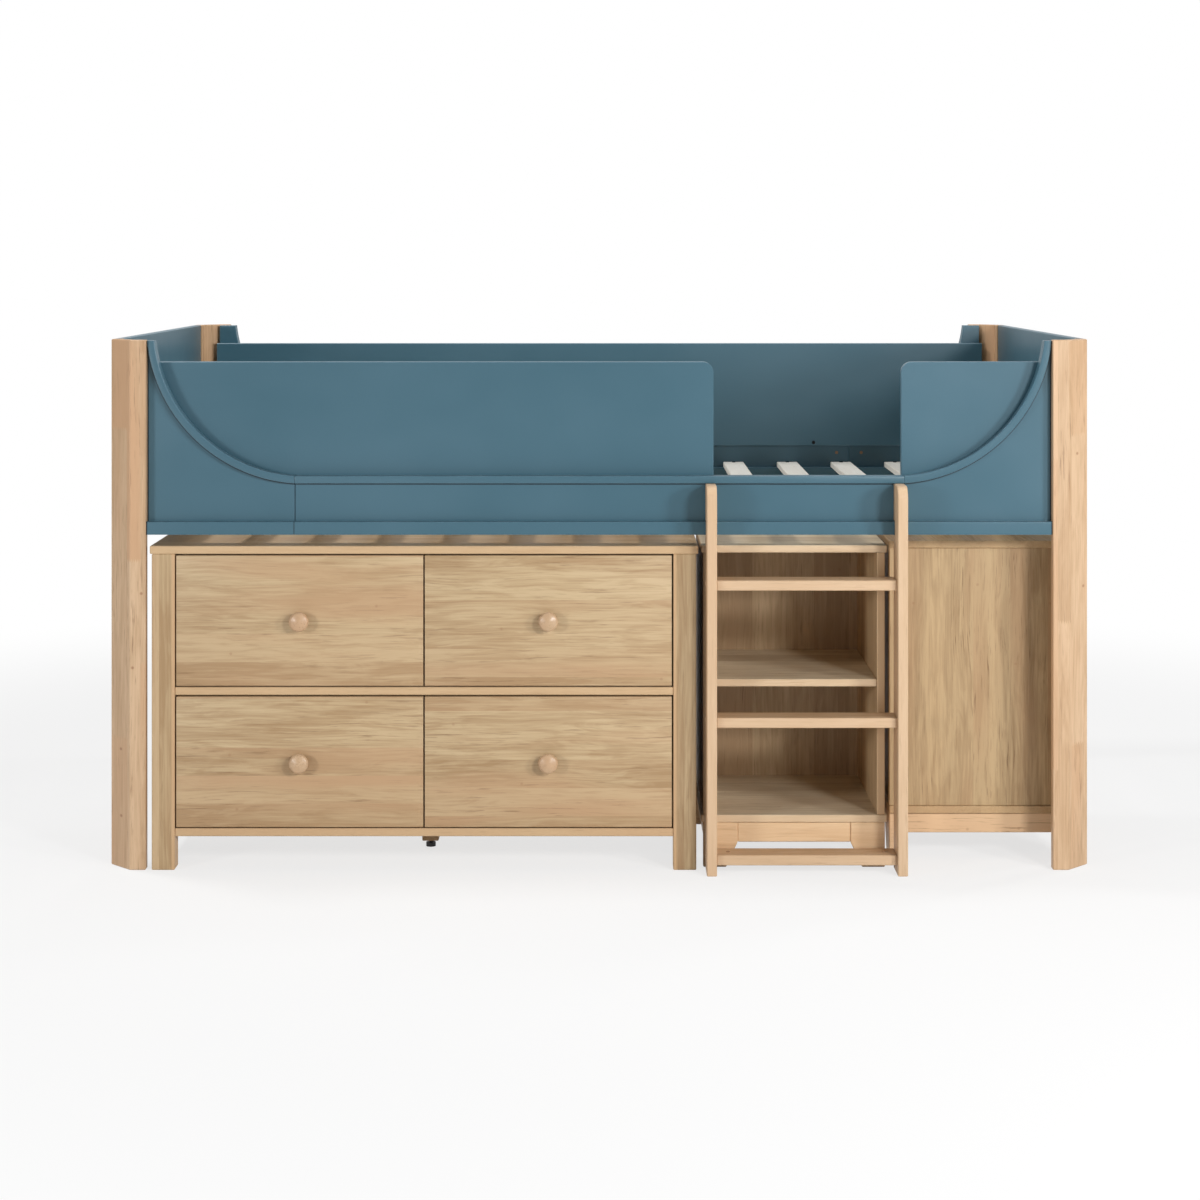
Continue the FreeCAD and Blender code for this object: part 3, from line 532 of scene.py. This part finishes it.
def cap_sweep():
    """Where the cap's middle line leaves the straight, where it meets the post's top, and its height."""
    low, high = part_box("front_caps")
    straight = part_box("front_rail_centre")[1]
    cap_height = straight.z - low.z
    return Vector((straight.x, low.z + cap_height / 2)), Vector((high.x - cap_height / 2, high.z)), cap_height


def below_cap(tree, apart, out):
    """How far a point of a rail lies below the cap, along the straight and round the sweep."""
    start, end_point, cap_height = cap_sweep()
    centre = sweep_centre(start, end_point)
    spot = node(tree, "CombineXYZ", {"X": out, "Y": apart["Z"]}).outputs[0]
    both = {0: spot, 1: (centre.x, centre.y, 0.0)}
    reach = node(tree, "VectorMath", both, operation="DISTANCE").outputs["Value"]
    past_arc = calc(tree, "SUBTRACT", reach, (start - centre).length + cap_height / 2)
    below = calc(tree, "SUBTRACT", start.y - cap_height / 2, apart["Z"])
    swept = calc(tree, "GREATER_THAN", out, start.x)
    return node(tree, "Mix", {0: swept, 2: below, 3: past_arc}).outputs[0]


def painted_joint_shade(tree, space, outward, capped):
    """A mask of the painted shade on a rail's outer face: thin dark lines at the posts and at the seams, and a
    painted shadow under the cap.
    """
    apart = parts_of(tree, space)
    out = calc(tree, "ABSOLUTE", apart["X"])
    post = -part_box("post_front_left")[1].x
    lines = ramp(tree, out, post - JOINT_LINE, post - JOINT_LINE / 2)
    off_seam = calc(tree, "ABSOLUTE", calc(tree, "SUBTRACT", out, cap_sweep()[0].x))
    seam = ramp(tree, off_seam, SEAM_LINE / 4, SEAM_LINE / 2, SEAM_DEPTH, 0.0)
    lines = calc(tree, "MAXIMUM", lines, seam)
    # A painted shadow just under the cap, along the straight and round the sweep
    if capped:
        away = below_cap(tree, apart, out)
        under = ramp(tree, away, CAP_SHADOW / 2, CAP_SHADOW, CAP_SHADOW_DEPTH, 0.0)
        under = calc(tree, "MULTIPLY", under, calc(tree, "GREATER_THAN", away, -MM))
        lines = calc(tree, "MAXIMUM", lines, under)
    facing = calc(tree, "MULTIPLY", parts_of(tree, facing_of(tree))["Y"], outward)
    return calc(tree, "MULTIPLY", lines, ramp(tree, facing, 0.4, 0.6))


def sprayed_paint(name, colour, paler_colour, outward=0.0, capped=False):
    """Satin paint on board: a drift of tone, fine grit and peel, paler eased edges that are wear and a painted
    highlight, and on the rails and skirts a painted shade at their joints, with a painted shadow under the rails'
    cap.
    """
    material, tree, shader, space = new_material(name)
    drift = speckle(tree, space, DRIFT_TURNS, 3.0, 0.55)
    tone = mixed(tree, ramp(tree, drift, 0.3, 0.7, 0.0, DRIFT_SHARE), hue(colour), hue(paler_colour))
    grit = speckle(tree, space, GRIT_TURNS, 2.0, 0.6)
    tone = mixed(tree, ramp(tree, grit, 0.35, 0.75, 0.0, GRIT_SHARE), tone, hue(BLUE_GRIT))
    # Paler eased edges: wear, and a painted highlight along them
    edge_wear_and_light = placed_group(tree, arris_wear_and_light, {"Wear space": space})["Mask"]
    tone = mixed(tree, calc(tree, "MULTIPLY", edge_wear_and_light, PAINT_WEAR_AND_SHEEN_SHARE), tone, hue(paler_colour))
    marks = placed_group(tree, handled, {"Mark space": space, "Strength": PAINT_HANDLING})
    tone = mixed(tree, calc(tree, "MULTIPLY", marks["Dust"], PAINT_DUST_SHARE), tone, hue(BLUE_DUST))
    # Painted shade at the rail's joints, and on a capped rail a painted shadow under the cap
    if outward:
        tone = mixed(tree, painted_joint_shade(tree, space, outward, capped), tone, hue(JOINT_SHADE))
    roughness = calc(tree, "ADD", marks["Gloss change"], PAINT_ROUGHNESS)
    peel = speckle(tree, space, PEEL_TURNS, 2.0, 0.4)
    finish(tree, shader, tone, roughness, peel, PAINT_RELIEF)
    return material


def moulded_plastic(name, colour, scuffed):
    """Black plastic with a fine moulded grain and grey scuffs."""
    material, tree, shader, space = new_material(name)
    texture = speckle(tree, space, MOULDED_TURNS, 3.0, 0.6)
    scuffs = ramp(tree, speckle(tree, space, SCUFF_TURNS, 5.0, 0.7), 0.55, 0.75, 0.0, SCUFF_SHARE)
    tone = mixed(tree, scuffs, hue(colour), hue(scuffed))
    finish(tree, shader, tone, ramp(tree, texture, 0.3, 0.7, 0.42, 0.62), texture, PLASTIC_RELIEF)
    return material


def blacked_steel(name):
    """Blackened screw heads, rubbed bright here and there."""
    material, tree, shader, space = new_material(name)
    rubbed = ramp(tree, speckle(tree, space, RUB_TURNS, 4.0, 0.7), 0.52, 0.72)
    tone = mixed(tree, calc(tree, "MULTIPLY", rubbed, RUB_SHARE), hue(STEEL_BLACK), hue(STEEL_BRIGHT))
    shader.inputs["Metallic"].default_value = STEEL_METALLIC
    finish(tree, shader, tone, ramp(tree, rubbed, 0.0, 1.0, 0.5, 0.3), rubbed, STEEL_RELIEF)
    return material


drawers_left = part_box("drawer_lower_left_front")[0].x
drawers_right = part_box("drawer_lower_right_front")[1].x
DRAWER_SPAN = ((drawers_left + drawers_right) / 2, (drawers_right - drawers_left) / 2)

post_wood = wood("post_wood", "ZXY", **POST)
blue_paint = sprayed_paint("blue_paint", *BLUE)
# The rails' and skirts' paints add painted shade at the joints; the rails' paints also add a painted shadow under
# the cap
rail_paint = sprayed_paint("rail_paint", *BLUE, FRONT_OUTWARD, True)
rear_rail_paint = sprayed_paint("rear_rail_paint", *BLUE, REAR_OUTWARD, True)
skirt_paints = {"front_": sprayed_paint("skirt_paint", *BLUE, FRONT_OUTWARD),
                "rear_": sprayed_paint("rear_skirt_paint", *BLUE, REAR_OUTWARD)}
stile_wood = wood("stile_wood", "ZYX", ACROSS, (0.3, 0.0, 0.0), **LADDER)
rung_wood = wood("rung_wood", "XYZ", UPRIGHT, (0.7, 0.0, 0.0), **LADDER)
slat_wood = wood("slat_wood", "YXZ", UPRIGHT, **SLAT)
chest_flat_wood = wood("chest_flat_wood", "XYZ", UPRIGHT, (0.4, 0.0, 0.0), edge="cba981")
chest_upright_wood = wood("chest_upright_wood", "ZXY", None, (1.3, 0.02, 0.0), edge="c7a47c", strip=0.05,
                          lipping=DRAWER_SPAN)
chest_side_wood = wood("chest_side_wood", "ZYX", ACROSS, (2.1, 0.0, 0.0))
chest_back_wood = wood("chest_back_wood", "XZY", FACING, (5.0, 0.0, 0.0), **CHEST_BACK)
drawer_woods = {drawer: wood(drawer + "_wood", "XZY", FACING, cut, **DRAWER)
                for drawer, cut in zip(DRAWERS, DRAWER_CUTS)}
knob_wood = wood("knob_wood", "YXZ", None, (0.0, 0.0, 0.0), **KNOB)
plug_wood = wood("plug_wood", "YXZ", None, (0.6, 0.0, 0.0), **PLUG)
box_wood = wood("box_wood", "YZX", None, (6.0, 0.0, 0.0), **BOX)
runner_wood = wood("runner_wood", "YXZ", None, (7.0, 0.0, 0.0), **RUNNER)
case_side_wood = wood("case_side_wood", "ZYX", ACROSS, (4.1, 0.0, 0.0), **CASE)
case_back_wood = wood("case_back_wood", "ZXY", FACING, (4.7, 0.03, 0.0), **CASE)
case_flat_wood = wood("case_flat_wood", "XYZ", UPRIGHT, (5.3, 0.0, 0.0), **CASE_SHELF_LIT)
case_base_wood = wood("case_base_wood", "XZY", None, (5.9, 0.0, 0.0), **BASE)
end_case_side_wood = wood("end_case_side_wood", "ZXY", FACING, (6.3, 0.015, 0.0), **END_CASE)
end_case_back_wood = wood("end_case_back_wood", "ZYX", ACROSS, (6.9, 0.0, 0.0), **END_CASE)
end_case_flat_wood = wood("end_case_flat_wood", "YXZ", UPRIGHT, (7.5, 0.0, 0.0), **END_CASE)
end_case_base_wood = wood("end_case_base_wood", "XZY", None, (8.1, 0.0, 0.0), **BASE)
black_plastic = moulded_plastic("black_plastic", "141414", "4a4a4a")
screw_steel = blacked_steel("screw_steel")

NODE_FINISHES = {
    post_wood: ("post_front_left", "post_front_right", "post_rear_left", "post_rear_right"),
    blue_paint: ("front_caps", "rear_caps", "front_skirts", "rear_skirts", "guard_front_left",
                 "guard_front_right", "guard_rear", "end_panel_left", "end_panel_right", "slat_ledgers"),
    rail_paint: ("front_rail_centre", "front_rail_left_end", "front_rail_right_end"),
    rear_rail_paint: ("rear_rail_boards",),
    slat_wood: ("slats",),
    stile_wood: ("ladder_stile_left", "ladder_stile_right"),
    rung_wood: ("ladder_rungs",),
    chest_flat_wood: ("chest_top", "chest_floor", "chest_mid_shelf"),
    chest_upright_wood: ("chest_legs", "chest_foot_block"),
    chest_side_wood: ("chest_sides", "chest_dividers"),
    chest_back_wood: ("chest_back",),
    runner_wood: ("chest_runners",),
    **{drawer_woods[drawer]: (drawer + "_front",) for drawer in DRAWERS},
    box_wood: tuple(drawer + "_box" for drawer in DRAWERS),
    case_side_wood: ("bookcase_sides",),
    case_back_wood: ("bookcase_back",),
    case_flat_wood: ("bookcase_top", "bookcase_shelf", "bookcase_floor"),
    case_base_wood: ("bookcase_base",),
    end_case_side_wood: ("end_bookcase_sides",),
    end_case_back_wood: ("end_bookcase_back",),
    end_case_flat_wood: ("end_bookcase_top", "end_bookcase_shelf", "end_bookcase_floor"),
    end_case_base_wood: ("end_bookcase_base",),
    black_plastic: ("chest_leveller",),
}


def dress_nodes():
    """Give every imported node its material."""
    for material, names in NODE_FINISHES.items():
        for name in names:
            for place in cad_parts[name].material_slots:
                place.material = material


# Shaping

def clear_bench():
    """Leave nothing selected, so that the next step acts on the new piece alone."""
    bpy.ops.object.select_all(action="DESELECT")


def pick(piece):
    """Select one piece alone."""
    clear_bench()
    piece.select_set(True)
    bpy.context.view_layer.objects.active = piece


def settle(piece):
    """Put a piece's place, turn and size into its mesh."""
    pick(piece)
    bpy.ops.object.transform_apply(location=True, rotation=True, scale=True)
    return piece


def choose_edges(piece, wanted):
    """Select the edges whose two ends pass a test, in edit mode's edge select."""
    bpy.ops.object.mode_set(mode="EDIT")
    bpy.ops.mesh.select_mode(type="EDGE")
    bpy.ops.mesh.select_all(action="DESELECT")
    bpy.ops.object.mode_set(mode="OBJECT")
    mesh = piece.data
    for edge in mesh.edges:
        ends = [mesh.vertices[at].co for at in edge.vertices]
        edge.select = all(wanted(end) for end in ends)
    bpy.ops.object.mode_set(mode="EDIT")


def tidy_mesh(piece, angle=BOARD_SMOOTH):
    """Merge doubles, turn the faces outwards and shade the soft edges smooth."""
    pick(piece)
    bpy.ops.object.mode_set(mode="EDIT")
    bpy.ops.mesh.select_all(action="SELECT")
    bpy.ops.mesh.remove_doubles(threshold=MERGE_REACH)
    bpy.ops.mesh.normals_make_consistent(inside=False)
    bpy.ops.object.mode_set(mode="OBJECT")
    bpy.ops.object.shade_smooth_by_angle(angle=math.radians(angle))
    return piece


def block(name, low, high):
    """A squared block between two corners."""
    clear_bench()
    low, high = Vector(low), Vector(high)
    bpy.ops.mesh.primitive_cube_add(size=1, location=(low + high) / 2, scale=high - low)
    piece = bpy.context.object
    piece.name = name
    return settle(piece)


def disc(sides, radius, rise):
    """A short round bar on the ground, ready to be shaped."""
    clear_bench()
    bpy.ops.mesh.primitive_cylinder_add(vertices=sides, radius=radius, depth=rise, location=(0, 0, rise / 2))
    return settle(bpy.context.object)


def ease(piece, width, steps):
    """Round every edge of a piece."""
    pick(piece)
    bpy.ops.object.mode_set(mode="EDIT")
    bpy.ops.mesh.select_all(action="SELECT")
    bpy.ops.mesh.bevel(offset=width, segments=steps, affect="EDGES")
    bpy.ops.object.mode_set(mode="OBJECT")
    return piece


def joined(pieces, name):
    """Several meshes as one piece."""
    clear_bench()
    for piece in pieces:
        piece.select_set(True)
    bpy.context.view_layer.objects.active = pieces[0]
    bpy.ops.object.join()
    pieces[0].name = name
    return pieces[0]


def copied(piece, name, place=(0, 0, 0), turn=(0, 0, 0), size=(1, 1, 1)):
    """A copy with its own mesh, moved, turned or mirrored."""
    twin = piece.copy()
    twin.data = piece.data.copy()
    twin.name = name
    twin.location = place
    twin.rotation_euler = turn
    twin.scale = size
    bpy.context.collection.objects.link(twin)
    return settle(twin)


def mirrored_pair(piece):
    """The piece and its twin on the other side of the bed's middle."""
    pick(piece)
    mirror = piece.modifiers.new("Other end", "MIRROR")
    mirror.use_axis = (True, False, False)
    bpy.ops.object.modifier_apply(modifier=mirror.name)
    return piece


def done(piece, material, body):
    """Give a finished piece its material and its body."""
    piece.data.materials.clear()
    piece.data.materials.append(material)
    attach(piece, body)
    return piece


# Drawer fronts

def drawer_panel(drawer, panel_back):
    """The flat front of a drawer, with its edges just eased."""
    low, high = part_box(drawer + "_front")
    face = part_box("chest_top")[0].y
    panel = block(drawer + "_panel", (low.x, face, low.z), (high.x, panel_back, high.z))
    tidy_mesh(ease(panel, BOARD_EASING, BOARD_STEPS))
    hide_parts(drawer + "_front")
    done(panel, drawer_woods[drawer], drawer)


def turned_knob():
    """A mushroom knob, drawn up ring by ring from its foot."""
    clear_bench()
    bpy.ops.mesh.primitive_circle_add(vertices=KNOB_SIDES, radius=KNOB_FOOT, fill_type="NGON")
    knob = bpy.context.object
    bpy.ops.object.mode_set(mode="EDIT")
    bpy.ops.mesh.select_all(action="SELECT")
    radius, height = KNOB_FOOT, 0.0
    for ring_radius, ring_height in KNOB_RINGS:
        rise = (0, 0, ring_height * MM - height)
        bpy.ops.mesh.extrude_region_move(TRANSFORM_OT_translate={"value": rise})
        share = ring_radius * MM / radius
        bpy.ops.transform.resize(value=(share, share, 1), center_override=(0, 0, ring_height * MM))
        radius, height = ring_radius * MM, ring_height * MM
    bpy.ops.object.mode_set(mode="OBJECT")
    knob.rotation_euler = TO_FRONT
    return tidy_mesh(settle(knob), KNOB_SMOOTH)


def fit_drawers():
    """A panel, a knob and the knob's screw on every drawer."""
    knob = turned_knob()
    head = screw_head()
    for drawer in DRAWERS:
        panel_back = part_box(drawer + "_box")[0].y
        drawer_panel(drawer, panel_back)
        low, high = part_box(drawer + "_front")
        middle_x, middle_z = (low.x + high.x) / 2, (low.z + high.z) / 2
        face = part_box("chest_top")[0].y
        done(copied(knob, drawer + "_knob", (middle_x, face, middle_z)), knob_wood, drawer)
        inside = copied(head, drawer + "_knob_screw", (middle_x, panel_back, middle_z), TO_REAR)
        done(inside, screw_steel, drawer)
    bpy.data.objects.remove(knob)
    bpy.data.objects.remove(head)


# Mouldings

def swept_cap_end(low, high):
    """The end of a cap: its section spun round the rail's curve and cut level at the post's top."""
    start, end_point, cap_height = cap_sweep()
    centre = sweep_centre(start, end_point)
    middle = (start.x, (low.y + high.y) / 2, start.y)
    clear_bench()
    bpy.ops.mesh.primitive_plane_add(size=1, location=middle, rotation=TO_RIGHT)
    end = settle(bpy.context.object)
    end.data.name = "cap_end"
    pick(end)
    bpy.ops.object.mode_set(mode="EDIT")
    bpy.ops.mesh.select_all(action="SELECT")
    bpy.ops.transform.resize(value=(1, high.y - low.y, cap_height), center_override=middle)
    bpy.ops.mesh.bevel(offset=PAINTED_EASING, segments=PAINTED_STEPS, affect="VERTICES")
    first = math.atan2(start.y - centre.y, start.x - centre.x)
    last = math.atan2(end_point.y - centre.y, end_point.x - centre.x)
    bpy.ops.mesh.select_all(action="SELECT")
    bpy.ops.mesh.spin(steps=SWEEP_STEPS, angle=last - first + SWEEP_OVERRUN,
                      center=(centre.x, middle[1], centre.y), axis=FACING)
    bpy.ops.mesh.select_all(action="SELECT")
    bpy.ops.mesh.bisect(plane_co=(0, 0, high.z), plane_no=UPRIGHT, use_fill=True, clear_outer=True)
    bpy.ops.object.mode_set(mode="OBJECT")
    return end


def front_cap():
    """The cap moulding of the front rail: a straight middle and two swept ends."""
    low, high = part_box("front_caps")
    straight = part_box("front_rail_centre")[1]
    middle = block("cap_middle", (-straight.x, low.y, low.z), (straight.x, high.y, straight.z))
    ease(middle, PAINTED_EASING, PAINTED_STEPS)
    ends = mirrored_pair(tidy_mesh(swept_cap_end(low, high)))
    return tidy_mesh(joined([middle, ends], "front_cap_moulding"), MOULDING_SMOOTH)


def front_skirt():
    """The skirt moulding of the front rail, in three lengths with a round on the upper outer edge."""
    low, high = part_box("front_skirts")
    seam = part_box("front_rail_centre")[1].x
    before, after = seam - SEAM_GAP / 2, seam + SEAM_GAP / 2
    lengths = []
    for left, right in ((low.x, -after), (-before, before), (after, high.x)):
        length = block("skirt_length", (left, low.y, low.z), (right, high.y, high.z))
        pick(length)
        choose_edges(length, lambda end: end.y < low.y + MM and end.z > high.z - MM)
        bpy.ops.mesh.bevel(offset=SKIRT_ROUND, segments=SKIRT_STEPS, affect="EDGES")
        bpy.ops.object.mode_set(mode="OBJECT")
        lengths.append(length)
    return tidy_mesh(joined(lengths, "front_skirt_moulding"), MOULDING_SMOOTH)


def fit_mouldings():
    """Caps and skirts on the front rail, and their mirror images on the rear rail."""
    turn_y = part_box("front_rail_centre")[0].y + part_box("rear_rail_boards")[1].y
    for make, kind in ((front_cap, "caps"), (front_skirt, "skirts")):
        front = make()
        rear = copied(front, front.name.replace("front", "rear"), (0, turn_y, 0), size=(1, -1, 1))
        tidy_mesh(rear, MOULDING_SMOOTH)
        for side, piece in (("front_", front), ("rear_", rear)):
            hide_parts(side + kind)
            done(piece, skirt_paints[side] if kind == "skirts" else blue_paint, "bed")


# Small fixings

def screw_head():
    """A pan head with a cross recess, looking up."""
    head = disc(SCREW_SIDES, SCREW_RADIUS, SCREW_RISE)
    pick(head)
    choose_edges(head, lambda end: end.z > TOP_SHARE * SCREW_RISE)
    bpy.ops.mesh.bevel(offset=SCREW_ROUND_SHARE * SCREW_RISE, segments=ROUND_STEPS, affect="EDGES")
    bpy.ops.object.mode_set(mode="OBJECT")
    length, width = CROSS_LENGTH_SHARE * SCREW_RADIUS, CROSS_WIDTH_SHARE * SCREW_RADIUS
    floor = CROSS_FLOOR_SHARE * SCREW_RISE
    slots = [block("cross_slot", (-x, -y, floor), (x, y, 2 * SCREW_RISE))
             for x, y in ((length, width), (width, length))]
    for slot in slots:
        pick(head)
        cut = head.modifiers.new("Cross", "BOOLEAN")
        cut.object = slot
        cut.operation = "DIFFERENCE"
        bpy.ops.object.modifier_apply(modifier=cut.name)
        bpy.data.objects.remove(slot)
    return tidy_mesh(head, FIXING_SMOOTH)


def cover_cap():
    """A push-in cover cap with a rounded rim and a shallow dish, looking up."""
    cap = disc(CAP_SIDES, CAP_RADIUS, CAP_RISE)
    pick(cap)
    choose_edges(cap, lambda end: end.z > TOP_SHARE * CAP_RISE)
    bpy.ops.mesh.bevel(offset=CAP_ROUND_SHARE * CAP_RISE, segments=ROUND_STEPS, affect="EDGES")
    bpy.ops.mesh.select_mode(type="FACE")
    bpy.ops.mesh.select_all(action="DESELECT")
    bpy.ops.object.mode_set(mode="OBJECT")
    for face in cap.data.polygons:
        face.select = face.normal.z > FACES_UP and face.center.z > TOP_SHARE * CAP_RISE
    bpy.ops.object.mode_set(mode="EDIT")
    bpy.ops.mesh.inset(thickness=CAP_RIM_SHARE * CAP_RADIUS)
    bpy.ops.transform.translate(value=(0, 0, -CAP_DISH_SHARE * CAP_RISE))
    bpy.ops.object.mode_set(mode="OBJECT")
    return tidy_mesh(cap, FIXING_SMOOTH)


def row_of(master, name, places, turn, material):
    """Copies of one fixing at several places, as one piece on the bed."""
    copies = [copied(master, f"{name}_{count}", place, turn) for count, place in enumerate(places)]
    done(joined(copies, name), material, "bed")


def slat_middles():
    """The slats' middles, from the corners of their tops."""
    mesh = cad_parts["slats"].data
    edges = sorted({round(vertex.co.x, 4) for vertex in mesh.vertices})
    starts = [x for before, x in zip([-FAR_OFF] + edges, edges) if x - before > LEAST_SPACING]
    return [x + SLAT_HALF_WIDTH for x in starts]


def rung_tops():
    """The levels of the rungs' tops."""
    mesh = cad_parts["ladder_rungs"].data
    levels = sorted({round(vertex.co.z, 4) for vertex in mesh.vertices})
    return [z for z, after in zip(levels, levels[1:] + [FAR_OFF]) if after - z > LEAST_SPACING]


def fit_bed_fixings(screw, cap):
    """Screws in the guards and slats, and joint caps on the rails' inner faces."""
    rear_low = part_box("guard_rear")[0]
    screw_z = rear_low.z + GUARD_SCREW_RISE
    rear_x = (-GUARD_SCREW_PITCH, 0, GUARD_SCREW_PITCH)
    row_of(screw, "rear_guard_screws", [(x, rear_low.y, screw_z) for x in rear_x], TO_FRONT, screw_steel)
    left_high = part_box("guard_front_left")[1]
    right_low, right_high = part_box("guard_front_right")
    front_x = (-GUARD_SCREW_PITCH, 0, (right_low.x + right_high.x) / 2)
    row_of(screw, "front_guard_screws", [(x, left_high.y, screw_z) for x in front_x], TO_REAR, screw_steel)

    slat_low, slat_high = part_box("slats")
    slat_places = [(x, y, slat_high.z) for x in slat_middles()
                   for y in (slat_low.y + SLAT_SCREW_INSET, slat_high.y - SLAT_SCREW_INSET)]
    row_of(screw, "slat_screws", slat_places, UPWARDS, screw_steel)

    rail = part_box("front_rail_centre")[1]
    joint_z = rail.z - JOINT_CAP_DROP
    joint_x = [side * rail.x + step * JOINT_CAP_SPREAD for side in (-1, 1) for step in (-1, 1)]
    inner_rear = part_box("rear_rail_boards")[0].y
    row_of(cap, "front_joint_caps", [(x, rail.y, joint_z) for x in joint_x], TO_REAR, plug_wood)
    row_of(cap, "rear_joint_caps", [(x, inner_rear, joint_z) for x in joint_x], TO_FRONT, plug_wood)


def fit_ladder_fixings(cap):
    """Plugs in the lowest rung and caps on the outsides of the stiles."""
    rung_low, rung_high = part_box("ladder_rungs")
    tops = rung_tops()
    plug_y = (rung_low.y + rung_high.y) / 2
    plugs = [(x, plug_y, tops[0]) for x in (rung_low.x + RUNG_PLUG_INSET, rung_high.x - RUNG_PLUG_INSET)]
    row_of(cap, "rung_plugs", plugs, UPWARDS, plug_wood)
    levels = [top - (tops[0] - rung_low.z) / 2 for top in tops]
    ends = [rung_low.y + STILE_CAP_INSET, rung_high.y - STILE_CAP_INSET]
    left_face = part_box("ladder_stile_left")[0].x
    right_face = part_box("ladder_stile_right")[1].x
    for name, face, turn in (("stile_caps_left", left_face, TO_LEFT), ("stile_caps_right", right_face, TO_RIGHT)):
        row_of(cap, name, [(face, y, z) for y in ends for z in levels], turn, rung_wood)


def fit_fixings():
    """All the small fixings of the bed and its ladder."""
    screw = screw_head()
    cap = cover_cap()
    fit_bed_fixings(screw, cap)
    fit_ladder_fixings(cap)
    bpy.data.objects.remove(screw)
    bpy.data.objects.remove(cap)


# Studio

def seen_directly(tree, in_gloss):
    """One where the camera or a clear surface looks, a share of it in a gloss, and zero for other rays."""
    path = node(tree, "LightPath", {}).outputs
    glossy = calc(tree, "MULTIPLY", path["Is Glossy Ray"], in_gloss)
    direct = calc(tree, "MAXIMUM", path["Is Camera Ray"], glossy)
    return calc(tree, "MAXIMUM", direct, path["Is Transmission Ray"])


def floor_paper():
    """White paper that keeps the bed's shadow and goes to pure white away from it."""
    material = bpy.data.materials.new("floor_paper")
    material.use_nodes = True
    tree = material.node_tree
    tree.nodes.clear()
    space = tree.nodes.new("ShaderNodeTexCoord").outputs["Object"]
    far = node(tree, "VectorMath", {0: space}, operation="LENGTH").outputs["Value"]
    white = ramp(tree, far, FLOOR_FADE_START, FLOOR_FADE_END, FLOOR_WHITE_SHARE, 1.0)
    in_gloss = ramp(tree, far, GLOSS_FADE_START, GLOSS_FADE_END, 1.0, FAR_FLOOR_IN_GLOSS)
    share = calc(tree, "MULTIPLY", white, seen_directly(tree, in_gloss))
    paper = node(tree, "BsdfDiffuse", {"Color": PAPER})
    glow = node(tree, "Emission", {"Color": WHITE, "Strength": 1.0})
    surface = node(tree, "MixShader", {0: share, 1: paper.outputs[0], 2: glow.outputs[0]})
    output = tree.nodes.new("ShaderNodeOutputMaterial")
    tree.links.new(surface.outputs[0], output.inputs["Surface"])
    return material


def lay_floor():
    """The floor under the bed."""
    clear_bench()
    bpy.ops.mesh.primitive_plane_add(size=FLOOR_SIZE)
    floor = bpy.context.object
    floor.name = "floor"
    floor.data.materials.append(floor_paper())


def softbox(name, place, aim, size, power, in_gloss):
    """A square soft light that looks at a point."""
    lamp = bpy.data.lights.new(name, "AREA")
    lamp.shape = "SQUARE"
    lamp.size = size
    lamp.energy = power
    light = bpy.data.objects.new(name, lamp)
    light.visible_glossy = in_gloss
    light.location = place
    light.rotation_euler = (Vector(aim) - Vector(place)).to_track_quat("-Z", "Y").to_euler()
    bpy.context.collection.objects.link(light)


def light_studio():
    """Two keys from the right, a weaker light from the left, three above, one behind and a white surround."""
    for lamp in LAMPS:
        softbox(*lamp)
    world = bpy.data.worlds.new("surround")
    world.use_nodes = True
    bpy.context.scene.world = world
    tree = world.node_tree
    tree.nodes.clear()
    light = node(tree, "Background", {"Color": WHITE, "Strength": SURROUND_LIGHT})
    white = node(tree, "Background", {"Color": WHITE, "Strength": 1.0})
    share = seen_directly(tree, SURROUND_IN_GLOSS)
    seen = node(tree, "MixShader", {0: share, 1: light.outputs[0], 2: white.outputs[0]})
    output = tree.nodes.new("ShaderNodeOutputWorld")
    tree.links.new(seen.outputs[0], output.inputs["Surface"])


def place_camera():
    """The camera, level and square to the bed's front."""
    lens = bpy.data.cameras.new("camera")
    lens.lens = CAMERA_LENS
    lens.sensor_width = SENSOR_WIDTH
    lens.shift_y = CAMERA_SHIFT
    camera = bpy.data.objects.new("camera", lens)
    camera.location = CAMERA_PLACE
    camera.rotation_euler = (QUARTER_TURN, 0, 0)
    bpy.context.collection.objects.link(camera)
    bpy.context.scene.camera = camera


dress_nodes()
fit_drawers()
fit_mouldings()
fit_fixings()
lay_floor()
light_studio()
place_camera()
bpy.context.scene.view_settings.view_transform = "Standard"
